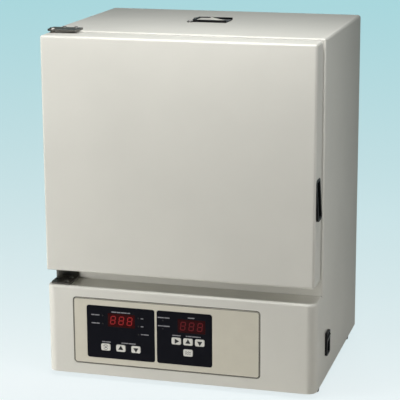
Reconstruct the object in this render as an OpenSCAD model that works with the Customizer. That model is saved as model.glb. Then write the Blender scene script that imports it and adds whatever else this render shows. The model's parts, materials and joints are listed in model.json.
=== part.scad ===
// Dry heat sterilizer: a bench oven with a side-hinged front door over a control base.
// Millimetres. +X is the right side seen from the front, +Y the back, +Z up.
// The origin is on the bench, under the middle of the casing.

/* [Casing] */
// Width of the casing
case_w = 450; // [420:1:600]
// Depth of the casing, base front to back
case_d = 360; // [345:1:520]
// Height of the casing without its feet
case_h = 560; // [530:1:700]
// Thickness of the painted sheet
sheet_t = 1.2; // [0.8:0.1:2]
// Height of the control base
base_h = 148; // [140:1:180]
// Radius of the base's front corners, seen from above
base_corner_r = 16; // [10:1:24]
// Radius of the ledge's fold and of the cabinet's front folds
fold_r = 4; // [2.5:0.5:6]
// Radius of the cabinet's upper corners
top_corner_r = 5; // [3:0.5:10]
// Width of the casing's inward front flange
front_flange = 20; // [12:1:24]

/* [Feet] */
// Height of the feet
foot_h = 8; // [4:1:20]
// Diameter of the feet
foot_d = 24; // [16:1:36]
// Distance of the feet's centres from the casing's sides
foot_side = 13; // [13:1:50]
// Distance of the front feet's centres from the base front
foot_front = 39; // [24:1:60]
// Distance of the rear feet's centres from the back
foot_rear = 59; // [24:1:100]

/* [Door] */
// Thickness of the door
door_t = 45; // [35:1:60]
// Gap between the closed door and the cabinet's face
door_gap = 5; // [4.5:0.1:8]
// How far the door's hinge side stays inside the casing's side
door_inset_left = 1; // [0:0.5:4]
// How far the door's opening side stays inside the casing's side
door_inset_right = 3.5; // [2:0.5:8]
// Gap between the door and the ledge under it
door_bottom_gap = 25; // [18:1:28]
// How far the door's top stays below the casing's top
door_top_gap = 2.5; // [2:0.5:6]
// Radius of the door's edges
door_edge_r = 5; // [2:0.5:8]
// How far the door's plug enters the chamber
plug_in = 3; // [1:0.5:6]
// Gap round the door's plug
plug_gap = 7; // [5:0.5:12]
// Width of the door gasket
gasket_w = 10; // [6:0.5:14]
// Gap between the closed gasket and the liner's flange
seal_gap = 0.3; // [0.2:0.1:0.6]

/* [Hinges] */
// Distance of the hinge axis from the casing's side
pin_side = 10; // [9:0.5:11]
// Distance of the hinge axis in front of the cabinet's face
pin_front = 14; // [12:0.5:20]
// Diameter of the hinge pins
pin_d = 8; // [5:0.5:10]
// Radial running clearance of the hinge pins
pin_clear = 0.05; // [0.02:0.01:0.1]
// Outer diameter of the hinge bushes
bush_d = 12; // [11:0.5:16]
// Length of the hinge bushes
bush_h = 16; // [10:1:24]
// Length of the top hinge bracket along the door
bracket_w = 50; // [40:1:80]
// Length of the lower hinge bracket along the door
low_bracket_w = 34; // [30:1:60]
// Thickness of the hinge brackets
bracket_t = 3; // [2:0.5:4]
// How far the top bracket reaches back over the casing
bracket_back = 14; // [12:1:30]
// Thickness of the lower bracket's upright leaf
bracket_leaf_t = 2; // [1:0.5:3]
// Gap between the lower bracket's upright leaf and the door
bracket_leaf_gap = 5; // [3:1:10]

/* [Door handle] */
// Height of the handle
handle_h = 66; // [50:1:90]
// Height of the handle's foot over the casing's lower edge
handle_z = 281; // [200:1:400]
// Width of the handle along the door's side
handle_w = 29; // [24:1:34]
// Distance of the handle from the door's front
handle_front = 4; // [2:0.5:8]
// How far the handle's upper end stands out of the door's side
handle_out_top = 0.6; // [0.4:0.1:2]
// How far the handle's lower end stands out of the door's side
handle_out_foot = 4; // [2:0.5:6]
// Depth of the finger pocket, from the door's side
pocket_depth = 20; // [14:1:26]
// Wall of the finger pocket
pocket_wall = 1.8; // [1.2:0.1:3]

/* [Chamber] */
// Distance of the chamber's side walls from the casing's sides
side_wall = 55; // [52:1:70]
// Distance of the chamber's roof from the casing's top
roof_wall = 57; // [40:1:80]
// Height of the chamber's floor over the ledge
chamber_rise = 45; // [42:1:50]
// Sheet thickness of the chamber's liner
liner_t = 1; // [0.6:0.1:1.5]
// Width of the liner's front flange
liner_flange = 18; // [14:1:19]
// Insulation behind the chamber
insul_back = 45; // [30:1:60]
// Room for leads behind that insulation
wiring_room = 15; // [14:1:30]
// Air gap between the insulation and the casing
insul_gap = 4; // [3:0.5:8]

/* [Shelves] */
// Height of the lower runners over the chamber's floor
runner_low = 109; // [80:1:130]
// Height of the upper runners over the chamber's floor
runner_high = 209; // [170:1:225]
// Diameter of the runner rods and of the shelf frames
rod_d = 5; // [4:0.5:6]
// Diameter of the shelf wires
wire_d = 2.5; // [2:0.5:4]
// Distance between shelf wires
wire_pitch = 18; // [12:1:30]
// Gap between a shelf and the rail posts beside it
shelf_side_gap = 1; // [0.5:0.1:2]
// Distance of a shelf's end rods from the chamber's mouth and back
shelf_end = 20; // [18:1:40]
// Height of the perforated floor over the chamber's floor
floor_rise = 30; // [28:1:50]
// Diameter of the floor's holes
floor_hole_d = 10; // [6:1:14]
// Distance between the floor's holes
floor_pitch = 34; // [24:1:60]

/* [Heating] */
// Diameter of the heater tubes
heater_d = 8; // [6:0.5:10]
// Distance between the two legs of a heater
heater_leg_gap = 80; // [50:1:110]
// Height of the heaters over the chamber's floor
heater_rise = 13; // [8:1:16]
// Diameter of the temperature probe
probe_d = 6; // [4:0.5:8]

/* [Control plate] */
// Width of the control plate
plate_w = 312; // [300:1:330]
// Height of the control plate
plate_h = 111; // [106:1:116]
// Centre of the control plate, from the casing's middle
plate_x = -22; // [-35:1:10]
// Centre of the control plate, over the casing's lower edge
plate_z = 75; // [72:1:80]
// Corner radius of the control plate
plate_r = 5; // [3:0.5:8]
// How far the control plate stands out of the base front
plate_out = 0.5; // [0.2:0.1:1.5]
// Shadow gap round the control plate
plate_gap = 1.2; // [0.6:0.1:2]
// Height of the two dark windows
window_h = 89; // [84:1:92]
// Width of the left window
left_window_w = 115.4; // [110:0.1:118]
// Width of the right window
right_window_w = 92.4; // [88:0.1:110]
// Gap between the two windows
window_gap = 3.8; // [2:0.1:8]
// Distance of the left window from the control plate's left edge
window_side = 22.6; // [10:0.1:30]
// Corner radius of the windows
window_r = 4; // [2:0.5:6]
// Width of a digit display
display_w = 46; // [40:1:48]
// Height of a digit display
display_h = 22.5; // [18:0.5:24]
// Height of the displays over the casing's lower edge
display_z = 96.6; // [94:0.1:100]
// Diameter of the indicator lamps
lamp_d = 2.4; // [1.8:0.1:3]
// Distance between lamps, up and down
lamp_pitch = 13.9; // [8:0.1:14]

/* [Keys] */
// Width of a key
key_w = 15.8; // [12:0.1:17]
// Height of a key
key_h = 11.6; // [9:0.1:12.5]
// Corner radius of a key
key_r = 2.6; // [1:0.1:4]
// How far a key stands out of its window
key_out = 0.8; // [0.6:0.1:1.5]
// Travel of a key
key_travel = 0.5; // [0.3:0.1:0.6]
// Gap round a key
key_gap = 0.3; // [0.2:0.05:0.5]
// Distance between the keys in the left window
left_pitch = 25.8; // [19:0.1:30]
// Distance between the keys in the right window
right_pitch = 19.6; // [18.5:0.1:21]

/* [Main switch] */
// Width of the switch, front to back
switch_w = 26; // [20:1:34]
// Height of the switch
switch_h = 39; // [34:1:50]
// Distance of the switch's centre from the base front
switch_y = 87; // [74:1:160]
// Height of the switch's centre over the casing's lower edge
switch_z = 58.5; // [35:0.5:90]
// Tilt of the rocker to each side
rocker_tilt = 11; // [6:1:14]

/* [Exhaust] */
// Width of the exhaust shutter's frame
vent_w = 58; // [52:1:80]
// Depth of the exhaust shutter's frame
vent_d = 44; // [42:1:70]
// Height of the frame's rails over the casing
vent_h = 4; // [4:0.5:8]
// Centre of the frame, from the casing's middle
vent_x = -1; // [-60:1:60]
// Distance of the frame's front rail from the base front
vent_front = 197; // [160:1:230]
// Inner width of the square exhaust duct
duct_w = 18; // [10:1:18]

/* [Hidden] */
$fn = 48;
eps = 0.01;

// Planes of the casing
floor_z = foot_h;
deck_z = foot_h + base_h;
top_z = foot_h + case_h;
front_y = -case_d / 2;
back_y = case_d / 2;
ledge_d = door_t + door_gap;
cab_y = front_y + ledge_d;
side_in = case_w / 2 - sheet_t;

// The chamber
chamber_w = case_w - 2 * side_wall;
chamber_d = case_d - ledge_d - insul_back - wiring_room;
chamber_h = case_h - base_h - chamber_rise - roof_wall;
ch_floor = deck_z + chamber_rise;
ch_top = ch_floor + chamber_h;
ch_back = cab_y + chamber_d;
ch_mid = ch_floor + chamber_h / 2;
insul_y = ch_back + liner_t + insul_back;
flange_r = 6;
post_t = 1.5;
post_w = 12;
shelf_w = chamber_w - 2 * (post_t + shelf_side_gap) - rod_d;
shelf_d = chamber_d - 2 * shelf_end;

// The door
door_x0 = -case_w / 2 + door_inset_left;
door_x1 = case_w / 2 - door_inset_right;
door_w = door_x1 - door_x0;
door_xm = (door_x0 + door_x1) / 2;
door_z0 = deck_z + door_bottom_gap;
door_z1 = top_z - door_top_gap;
door_h = door_z1 - door_z0;
door_zm = (door_z0 + door_z1) / 2;
door_back = front_y + door_t;
skin_t = sheet_t;
panel_t = liner_t;
plug_t = door_gap + plug_in;
gasket_t = door_gap - liner_t - seal_gap;
gasket_lap = 4;
gasket_r = 7;
plug_r = 8;
door_screw_x = chamber_w / 2 - 40;
door_screw_z = chamber_h / 2 + gasket_lap + gasket_w + 4;

// The hinges
pin_x = -case_w / 2 + pin_side;
pin_y = cab_y - pin_front;
rest_gap = 0.3;
bracket_r = 8;
bracket_x0 = -case_w / 2 + fold_r + 1;
top_bracket_x0 = pin_x - bracket_r - 1;
top_bracket_y0 = pin_y - 6;
top_screws = [for (x = [12, 32]) [pin_x + x, cab_y + bracket_back / 2]];
low_bracket_y0 = front_y + 7;
low_screws = [
  [pin_x + 20, low_bracket_y0 + bracket_r + 1],
  [pin_x + 20, cab_y - bracket_leaf_t - 10]
];

// The control cluster, from the front of the base backwards
panel_in_y = front_y + sheet_t;
carrier_t = 2;
carrier_lip = 5;
carrier_y = panel_in_y + carrier_t;
plate_face = front_y - plate_out;
window_out = 0.2;
window_face = plate_face - window_out;
window_fit = 0.1;
board_y = carrier_y + 8.8;
board_t = 1.6;
pz = floor_z + plate_z;
left_window_x = plate_x - plate_w / 2 + window_side + left_window_w / 2;
right_window_x = left_window_x + left_window_w / 2 + window_gap + right_window_w / 2;
left_display_x = left_window_x + 1.4;
right_display_x = right_window_x + 12;
dz = floor_z + display_z;

// Places of the keys, from the middle of their own window
left_row = -25.4;
right_row = -4.6;
low_row = -23.1;
right_mid = 6.2;
left_keys = [for (i = [-1:1]) [i * left_pitch, left_row]];
right_keys = [for (i = [-1:1]) [right_mid + i * right_pitch, right_row]];
low_key = [right_mid, low_row];
key_stem_d = 4;
key_stem_gap = 0.4;
key_face = window_face - key_out;
key_play = 0.1;
key_back = panel_in_y - key_travel - key_play;
key_collar_d = 7;
stem_end = board_y - 5;
plunger_end = stem_end + key_travel + key_play;

// Places of the lamps, from the middle of their own window
lamp_top = 28.4;
lamp_side = 30.5;
right_lamp_side = 35.7;
lamp_pair = [lamp_top, lamp_top - lamp_pitch];
left_lamps = [
  for (sx = [-1, 1], z = lamp_pair) [sx * lamp_side, z],
  [lamp_side, lamp_top - 2 * lamp_pitch]
];
right_lamps = [for (z = lamp_pair) [-right_lamp_side, z]];

// The main switch
sw_x = case_w / 2;
sw_y = front_y + switch_y;
sw_z = floor_z + switch_z;
bezel_t = 4;
bezel_rim = 3.2;
rocker_gap = 0.3;
rocker_w = switch_w - 2 * bezel_rim - 2 * rocker_gap;
rocker_mid = 5;
rocker_rise = 1.6;
rocker_tip = rocker_mid + rocker_rise;
rocker_room = switch_h / 2 - bezel_rim - rocker_gap;
rocker_half = (rocker_room - rocker_tip * sin(rocker_tilt)) / cos(rocker_tilt);
rocker_back = 2;
rocker_pivot_x = sw_x + bezel_t - 7.5;
switch_wall = 2;
switch_depth = 22;
well_depth = 12;

// The exhaust shutter
vent_y0 = front_y + vent_front;
vent_y1 = vent_y0 + vent_d;
vent_x0 = vent_x - vent_w / 2;
vent_x1 = vent_x + vent_w / 2;
vent_floor_t = 1;
rail_t = 3;
shutter_t = 1.2;
shutter_gap = 0.3;
shutter_z = top_z + vent_floor_t + shutter_gap;
shutter_groove = 1.5;
duct_wall = 1;
duct_out = duct_w + 2 * duct_wall;
duct_side = 1.5;
duct_rear = 0.5;
duct_x = vent_x1 - duct_side - duct_out / 2;
duct_y = vent_y1 - rail_t - duct_rear - duct_out / 2;
duct_flange = 7;
duct_fit = 0.2;
duct_flange_w = duct_w + 2 * duct_flange;
shutter_slant = 35;
tab_h = vent_h - vent_floor_t;
vent_ear_d = 10;
vent_ear_x = vent_x0 - vent_ear_d / 2 + 1;
vent_ear_ys = [vent_y0 - 1.5, vent_y1 - vent_ear_d];

// Feet and base
foot_taper = 2;
foot_xs = [-case_w / 2 + foot_side, case_w / 2 - foot_side];
foot_ys = [front_y + foot_front, back_y - foot_rear];

// Heaters and what feeds them
heater_z = ch_floor + heater_rise;
heater_x = chamber_w / 4;
heater_front = cab_y + 30;
lead_y = insul_y + 6;
heater_flange_d = 18;
heater_legs = [for (hx = [-heater_x, heater_x], s = [-1, 1]) hx + s * heater_leg_gap / 2];
probe_x = -chamber_w / 2 + 30;
probe_z = ch_top - 14;
probe_len = 60;
stat_x = heater_x;
stat_rise = 90;
stat_z = ch_floor + stat_rise;
stat_d = 16;
stat_h = 12;
stat_rim = 3.5;
stat_rim_t = 1;
lead_d = 3;
bay_z = floor_z + sheet_t;
term_w = 84;
term_d = 20;
term_h = 24;
term_y = back_y - sheet_t - 4 - term_d / 2;
gland_side = 75;
gland_x = -case_w / 2 + gland_side;
gland_z = floor_z + 52;
gland_bore = 9;
gland_thread_d = 16;
gland_hole_d = gland_thread_d + 0.2;
fuse_x = gland_x + 55;
fuse_d = 12;
screw_head_d = 7;
screw_tip_d = 3.8;
screw_head_h = 2.4;
screw_d = 4;
black = "#1c1c1e";
steel = "#b9bbbd";
cream = "#d9d7cd";
stainless = "#c4c6c8";

// Rectangle with round corners, centred
module rounded(w, h, r) {
  square([w - 2 * r, h], center = true);
  square([w, h - 2 * r], center = true);
  for (sx = [-1, 1], sy = [-1, 1])
    translate([sx * (w / 2 - r), sy * (h / 2 - r)])
      circle(r);
}

// A drawing of X and Z made into a plate that starts at y and runs back
module upright(y, t) {
  translate([0, y + t, 0])
    rotate([90, 0, 0])
      linear_extrude(t)
        children();
}

// A drawing of Y and Z made into a plate that starts at x and runs right
module side_plate(x, t) {
  translate([x, 0, 0])
    rotate([90, 0, 90])
      linear_extrude(t)
        children();
}

// A rod along X, Y or Z, from its start
module rod_x(d, l) {
  rotate([0, 90, 0])
    cylinder(d = d, h = l);
}

module rod_y(d, l) {
  rotate([-90, 0, 0])
    cylinder(d = d, h = l);
}

// A drawing from 0 to w and 0 to h whose far upper corner is rounded
module fold_profile(w, h, r) {
  square([w - r, h]);
  square([w, h - r]);
  translate([w - r, h - r])
    circle(r);
}

// A dome-headed screw that points down, with its head's underside at the origin
module screw_down(l) {
  cylinder(d1 = screw_head_d, d2 = screw_tip_d, h = screw_head_h);
  translate([0, 0, -l])
    cylinder(d = screw_d, h = l + eps);
}

// A square block of width w on the exhaust duct's axis, from z0 up to z1
module duct_block(w, z0, z1) {
  translate([duct_x - w / 2, duct_y - w / 2, z0])
    cube([w, w, z1 - z0]);
}

// The solid form of the control base, shrunk inwards by s
module base_form(s) {
  r = base_corner_r - s;
  f = fold_r - s;
  cx = case_w / 2 - base_corner_r;
  cy = front_y + base_corner_r;
  back = cab_y + (s > 0 ? 1 : 0);
  low = floor_z - (s > 0 ? 1 : 0);
  h = deck_z - s - low;
  translate([-cx, 0, low])
    rotate([90, 0, 90])
      linear_extrude(2 * cx)
        translate([back, 0])
          mirror([1, 0])
            fold_profile(back - front_y - s, h, f);
  for (m = [0, 1])
    mirror([m, 0, 0]) {
      translate([cx, cy, low])
        rotate([0, 0, -90])
          rotate_extrude(angle = 90)
            fold_profile(r, h, f);
      translate([cx, back, low])
        rotate([90, 0, 0])
          linear_extrude(back - cy)
            fold_profile(r, h, f);
    }
}

// The solid form of the cabinet over the base, shrunk inwards by s
module cabinet_form(s) {
  w = case_w - 2 * s;
  back = back_y + (s > 0 ? 1 : 0);
  low = deck_z - (s > 0 ? 1 : 0);
  d = back - cab_y - s;
  h = top_z - s - low;
  rt = top_corner_r - s;
  rf = fold_r - s;
  intersection() {
    upright(cab_y + s, d)
      for (m = [0, 1])
        mirror([m, 0])
          translate([0, low])
            fold_profile(w / 2, h, rt);
    translate([0, 0, low])
      linear_extrude(h)
        for (m = [0, 1])
          mirror([m, 0, 0])
            translate([0, back])
              mirror([0, 1])
                fold_profile(w / 2, d, rf);
    side_plate(-w / 2, w)
      translate([back, low])
        mirror([1, 0])
          fold_profile(d, h, rf);
  }
}

module casing_shell() {
  color(cream)
    difference() {
      union() {
        difference() {
          cabinet_form(0);
          cabinet_form(sheet_t);
          upright(cab_y - 1, sheet_t + 2)
            translate([-case_w / 2 + front_flange, deck_z - 1])
              square([case_w - 2 * front_flange, case_h - base_h + 1 - front_flange]);
        }
        for (m = [0, 1])
          mirror([m, 0, 0])
            translate([side_in, cab_y, floor_z])
              cube([sheet_t, case_d - ledge_d, base_h + eps]);
      }
      switch_cutout();
      duct_block(duct_out + 2 * duct_fit, top_z - sheet_t - 1, top_z + 1);
    }
}

module base_front_panel() {
  color(cream)
    difference() {
      base_form(0);
      base_form(sheet_t);
      upright(front_y - 1, sheet_t + 2)
        translate([plate_x, pz])
          rounded(plate_w + 2 * plate_gap, plate_h + 2 * plate_gap, plate_r + plate_gap);
    }
}

module front_frame() {
  color(cream)
    difference() {
      upright(cab_y, sheet_t)
        translate([-case_w / 2 + front_flange, deck_z])
          square([case_w - 2 * front_flange, case_h - base_h - front_flange]);
      upright(cab_y - 1, sheet_t + 2)
        translate([0, ch_mid])
          square([chamber_w + 2 * liner_t, chamber_h + 2 * liner_t], center = true);
    }
}

module back_panel() {
  slot_w = 60;
  slot_h = 3;
  slot_pitch = 9;
  top_slot_drop = 60;
  low_slot_rise = 40;
  color(cream)
    difference() {
      upright(back_y - sheet_t, sheet_t)
        for (m = [0, 1])
          mirror([m, 0])
            translate([0, bay_z])
              fold_profile(side_in, case_h - 2 * sheet_t, top_corner_r - sheet_t);
      for (sx = [-1, 0, 1], i = [0:4])
        translate([sx * case_w / 5, 0, top_z - top_slot_drop - i * slot_pitch])
          upright(back_y - sheet_t - 1, sheet_t + 2)
            rounded(slot_w, slot_h, slot_h / 2 - eps);
      for (i = [0:4])
        translate([case_w / 5, 0, floor_z + low_slot_rise + i * slot_pitch])
          upright(back_y - sheet_t - 1, sheet_t + 2)
            rounded(slot_w * 1.5, slot_h, slot_h / 2 - eps);
      translate([gland_x, back_y - sheet_t - 1, gland_z])
        rod_y(gland_hole_d, sheet_t + 2);
      translate([fuse_x, back_y - sheet_t - 1, gland_z])
        rod_y(fuse_d + 0.2, sheet_t + 2);
    }
}

module bottom_plate() {
  slot_w = 50;
  slot_h = 4;
  slot_pitch = 12;
  slot_y = -20;
  color(steel)
    difference() {
      translate([0, 0, floor_z])
        linear_extrude(sheet_t)
          for (m = [0, 1])
            mirror([m, 0])
              translate([0, back_y - sheet_t])
                mirror([0, 1])
                  fold_profile(side_in, case_d - 2 * sheet_t, base_corner_r - sheet_t);
      for (sx = [-1, 1], i = [0:5])
        translate([sx * case_w / 5, slot_y + i * slot_pitch, floor_z - 1])
          linear_extrude(sheet_t + 2)
            rounded(slot_w, slot_h, slot_h / 2 - eps);
    }
}

module deck_plate() {
  color(steel)
    difference() {
      translate([-side_in, cab_y, deck_z - sheet_t])
        cube([2 * side_in, case_d - ledge_d - sheet_t, sheet_t]);
      translate([-term_w, lead_y - lead_d - 1, deck_z - sheet_t - 1])
        cube([2 * term_w, 2 * lead_d + 2, sheet_t + 2]);
      for (lx = heater_legs)
        translate([lx, lead_y, deck_z - sheet_t - 1])
          cylinder(d = 2 * lead_d, h = sheet_t + 2);
    }
}

module feet() {
  color(black)
    for (x = foot_xs, y = foot_ys)
      translate([x, y, 0])
        cylinder(d1 = foot_d - foot_taper, d2 = foot_d, h = foot_h);
}

module chamber_liner() {
  color(stainless)
    difference() {
      union() {
        translate([-chamber_w / 2 - liner_t, cab_y - liner_t, ch_floor - liner_t])
          cube([chamber_w + 2 * liner_t, chamber_d + 2 * liner_t, chamber_h + 2 * liner_t]);
        upright(cab_y - liner_t, liner_t)
          translate([0, ch_mid])
            rounded(chamber_w + 2 * liner_flange, chamber_h + 2 * liner_flange, flange_r);
      }
      translate([-chamber_w / 2, cab_y - liner_t - 1, ch_floor])
        cube([chamber_w, chamber_d + liner_t + 1, chamber_h]);
      for (lx = heater_legs)
        translate([lx, ch_back - 1, heater_z])
          rod_y(heater_d + 0.4, liner_t + 2);
      translate([probe_x, ch_back - 1, probe_z])
        rod_y(probe_d + 0.4, liner_t + 2);
      duct_block(duct_out + 2 * duct_fit, ch_top - 1, ch_top + liner_t + 1);
    }
}

module chamber_insulation() {
  side = side_in - insul_gap;
  color("#e6dfae")
    difference() {
      translate([-side, cab_y + sheet_t, deck_z])
        cube([2 * side, insul_y - cab_y - sheet_t, case_h - base_h - sheet_t - insul_gap]);
      translate([-chamber_w / 2 - liner_t, cab_y, ch_floor - liner_t])
        cube([chamber_w + 2 * liner_t, chamber_d + liner_t, chamber_h + 2 * liner_t]);
      for (lx = heater_legs)
        translate([lx, ch_back, heater_z])
          rod_y(heater_flange_d + 1, insul_back + 3);
      translate([probe_x, ch_back, probe_z])
        rod_y(probe_d + 5, insul_back + 3);
      translate([stat_x, ch_back, stat_z])
        rod_y(stat_d + 2 * stat_rim + 2, insul_back + 3);
      duct_block(duct_out + 1, ch_top, top_z);
      duct_block(duct_flange_w + 1, ch_top, ch_top + 2 * liner_t + insul_gap);
    }
}

module shelf_rails() {
  rod_sink = 0.2;
  rail_end = 14;
  rail_y0 = cab_y + rail_end;
  rail_y1 = ch_back - rail_end;
  rod_at = chamber_w / 2 - post_t - rod_d / 2 + rod_sink;
  post_low = ch_floor + floor_rise + 4;
  color(stainless)
    for (m = [0, 1])
      mirror([m, 0, 0]) {
        for (y = [rail_y0 + rail_end, rail_y1 - rail_end - post_w])
          translate([chamber_w / 2 - post_t, y, post_low])
            cube([post_t, post_w, ch_top - 24 - post_low]);
        for (z = [runner_low, runner_high])
          translate([rod_at, rail_y0, ch_floor + z])
            rod_y(rod_d, rail_y1 - rail_y0);
      }
}

// A wire shelf over the runners whose height over the chamber's floor is given
module wire_shelf(runner) {
  n = floor(shelf_w / wire_pitch);
  wire_sink = 0.4;
  color(stainless)
    translate([0, cab_y + shelf_end, ch_floor + runner + rod_d + rest_gap]) {
      for (sx = [-1, 1])
        translate([sx * shelf_w / 2, -rod_d / 2, 0])
          rod_y(rod_d, shelf_d + rod_d);
      for (y = [0, shelf_d / 2, shelf_d])
        translate([-shelf_w / 2, y, 0])
          rod_x(rod_d, shelf_w);
      for (i = [1:n - 1])
        translate([(i / n - 0.5) * shelf_w, -rod_d / 2, (rod_d + wire_d) / 2 - wire_sink])
          rod_y(wire_d, shelf_d + rod_d);
    }
}

module shelf_upper() {
  wire_shelf(runner_high);
}

module shelf_lower() {
  wire_shelf(runner_low);
}

module floor_plate() {
  w = chamber_w - 4;
  y0 = cab_y + 6;
  d = chamber_d - 10;
  nx = floor((w - 30) / floor_pitch);
  ny = floor((d - 30) / floor_pitch);
  color(stainless)
    difference() {
      translate([-w / 2, y0, ch_floor])
        cube([w, d, floor_rise]);
      translate([-w / 2 + liner_t, y0 - 1, ch_floor - 1])
        cube([w - 2 * liner_t, d + 2, floor_rise + 1 - liner_t]);
      for (i = [0:nx], j = [0:ny])
        translate([(i - nx / 2) * floor_pitch, y0 + d / 2 + (j - ny / 2) * floor_pitch, ch_floor])
          cylinder(d = floor_hole_d, h = floor_rise + 1);
    }
}

module heater_elements() {
  r = heater_leg_gap / 2;
  bend_y = heater_front + r;
  tube_end = lead_y - 3 * lead_d;
  color("#6d665f")
    for (hx = [-heater_x, heater_x])
      translate([hx, bend_y, heater_z]) {
        rotate([0, 0, 180])
          rotate_extrude(angle = 180)
            translate([r, 0])
              circle(d = heater_d);
        for (sx = [-1, 1])
          translate([sx * r, 0, 0]) {
            rod_y(heater_d, tube_end - bend_y);
            translate([0, ch_back + liner_t - bend_y, 0])
              rod_y(heater_flange_d, 4);
            translate([0, tube_end - bend_y, 0])
              rod_y(lead_d, lead_y - lead_d / 2 - tube_end);
          }
      }
}

// Each lead drops behind the insulation, crosses to its own terminal and drops again
module heater_leads() {
  term_pitch = term_w / 4;
  cross_low = bay_z + term_h + 12;
  cross_step = 2 * lead_d;
  color("#8a2f24")
    for (i = [0:3]) {
      lx = heater_legs[i];
      tx = (i - 1.5) * term_pitch;
      cz = cross_low + ((i == 0 || i == 3) ? 0 : cross_step);
      translate([lx, lead_y, cz])
        cylinder(d = lead_d, h = heater_z - cz + lead_d);
      translate([min(lx, tx), lead_y, cz])
        rod_x(lead_d, abs(tx - lx));
      translate([lx, lead_y, cz])
        sphere(d = lead_d);
      translate([tx, lead_y, cz])
        sphere(d = lead_d);
      translate([tx, lead_y, bay_z + term_h])
        cylinder(d = lead_d, h = cz - floor_z - sheet_t - term_h);
    }
}

module temperature_probe() {
  color(steel)
    translate([probe_x, ch_back - probe_len, probe_z]) {
      rod_y(probe_d, probe_len + insul_back + liner_t + 4);
      translate([0, probe_len - 2, 0])
        rod_y(probe_d + 4, 2);
    }
}

module overheat_thermostat() {
  color("#2f3236")
    translate([stat_x, ch_back + liner_t, stat_z]) {
      rod_y(stat_d + 2 * stat_rim, stat_rim_t);
      rod_y(stat_d, stat_h);
      for (sx = [-1, 1])
        translate([sx * stat_d / 4 - 1, stat_h - 2, -3])
          cube([2, stat_h, 6]);
    }
}

module exhaust_duct() {
  low = ch_top + liner_t;
  color(steel)
    difference() {
      union() {
        duct_block(duct_out, ch_top, top_z + vent_floor_t);
        duct_block(duct_flange_w, low, low + liner_t);
      }
      duct_block(duct_w, ch_top - 1, top_z + vent_floor_t + 1);
    }
}

module vent_frame() {
  color(black)
    difference() {
      union() {
        translate([vent_x0, vent_y0, top_z])
          cube([vent_w, vent_d, vent_floor_t]);
        translate([vent_x0, vent_y0, top_z])
          cube([rail_t, vent_d, vent_h]);
        for (y = [vent_y0, vent_y1 - rail_t])
          translate([vent_x0, y, top_z])
            cube([vent_w, rail_t, vent_h]);
        for (y = vent_ear_ys)
          translate([vent_ear_x, y, top_z])
            cylinder(d = vent_ear_d, h = vent_floor_t);
      }
      translate([vent_x0 + rail_t, vent_y0 + rail_t - shutter_groove, top_z + vent_floor_t])
        cube([vent_w, vent_d - 2 * rail_t + 2 * shutter_groove, shutter_t + 2 * shutter_gap]);
      duct_block(duct_out + 2 * duct_fit, top_z - 1, top_z + vent_floor_t + 1);
      for (y = vent_ear_ys)
        translate([vent_ear_x, y, top_z - 1])
          cylinder(d = screw_d, h = vent_floor_t + 2);
    }
}

module vent_slider() {
  groove_in = shutter_groove - shutter_gap;
  y0 = vent_y0 + rail_t - groove_in;
  y1 = vent_y1 - rail_t + groove_in;
  x0 = vent_x0 + rail_t + shutter_gap;
  x1 = vent_x1 - 2;
  slope = shutter_slant / (y1 - y0);
  tab_y0 = vent_y0 + rail_t + shutter_gap;
  tab_y1 = vent_y1 - rail_t - shutter_gap;
  tab_t = 1.5;
  tab_in = 0.5;
  function edge_x(y) = x1 - slope * (y - y0);
  function tab_x(y) = edge_x(y) - tab_in;
  color(cream)
    translate([0, 0, shutter_z]) {
      linear_extrude(shutter_t)
        polygon([[x0, y0], [x1, y0], [edge_x(y1), y1], [x0, y1]]);
      linear_extrude(tab_h)
        polygon([
          [tab_x(tab_y0) - tab_t, tab_y0],
          [tab_x(tab_y0), tab_y0],
          [tab_x(tab_y1), tab_y1],
          [tab_x(tab_y1) - tab_t, tab_y1]
        ]);
    }
}

// Calls its child once at each key, with the key's place as the origin
module at_keys(window_x, spots) {
  for (p = spots)
    translate([window_x + p[0], 0, pz + p[1]])
      children();
}

module at_every_key() {
  at_keys(left_window_x, left_keys)
    children();
  at_keys(right_window_x, concat(right_keys, [low_key]))
    children();
}

module at_every_lamp() {
  at_keys(left_window_x, left_lamps)
    children();
  at_keys(right_window_x, right_lamps)
    children();
}

module at_displays() {
  for (x = [left_display_x, right_display_x])
    translate([x, 0, dz])
      children();
}

module control_carrier() {
  color(black)
    difference() {
      upright(panel_in_y, carrier_t)
        translate([plate_x, pz])
          rounded(plate_w + 2 * carrier_lip, plate_h + 2 * carrier_lip, plate_r + carrier_lip);
      at_displays()
        upright(panel_in_y - 1, carrier_t + 2)
          square([display_w + 2 * window_fit, display_h + 2 * window_fit], center = true);
      at_every_key()
        translate([0, panel_in_y - 1, 0])
          rod_y(key_stem_d + 2 * key_stem_gap, carrier_t + 2);
      at_every_lamp()
        translate([0, panel_in_y - 1, 0])
          rod_y(lamp_d + 2 * window_fit, carrier_t + 2);
    }
}

module overlay_plate() {
  color("#d6d1bd")
    difference() {
      upright(plate_face, panel_in_y - plate_face)
        translate([plate_x, pz])
          rounded(plate_w, plate_h, plate_r);
      for (w = [[left_window_x, left_window_w], [right_window_x, right_window_w]])
        upright(plate_face - 1, panel_in_y - plate_face + 2)
          translate([w[0], pz])
            rounded(w[1] + 2 * window_fit, window_h + 2 * window_fit, window_r + window_fit);
    }
}

module display_windows() {
  color("#14161f")
    difference() {
      for (w = [[left_window_x, left_window_w], [right_window_x, right_window_w]])
        upright(window_face, panel_in_y - window_face)
          translate([w[0], pz])
            rounded(w[1], window_h, window_r);
      at_displays()
        upright(window_face - 1, panel_in_y - window_face + 2)
          square([display_w + 2 * window_fit, display_h + 2 * window_fit], center = true);
      at_every_key()
        upright(window_face - 1, panel_in_y - window_face + 2)
          rounded(key_w + 2 * key_gap, key_h + 2 * key_gap, key_r + key_gap);
      at_every_lamp()
        translate([0, window_face - 1, 0])
          rod_y(lamp_d + 2 * window_fit, panel_in_y - window_face + 2);
    }
}

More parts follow.
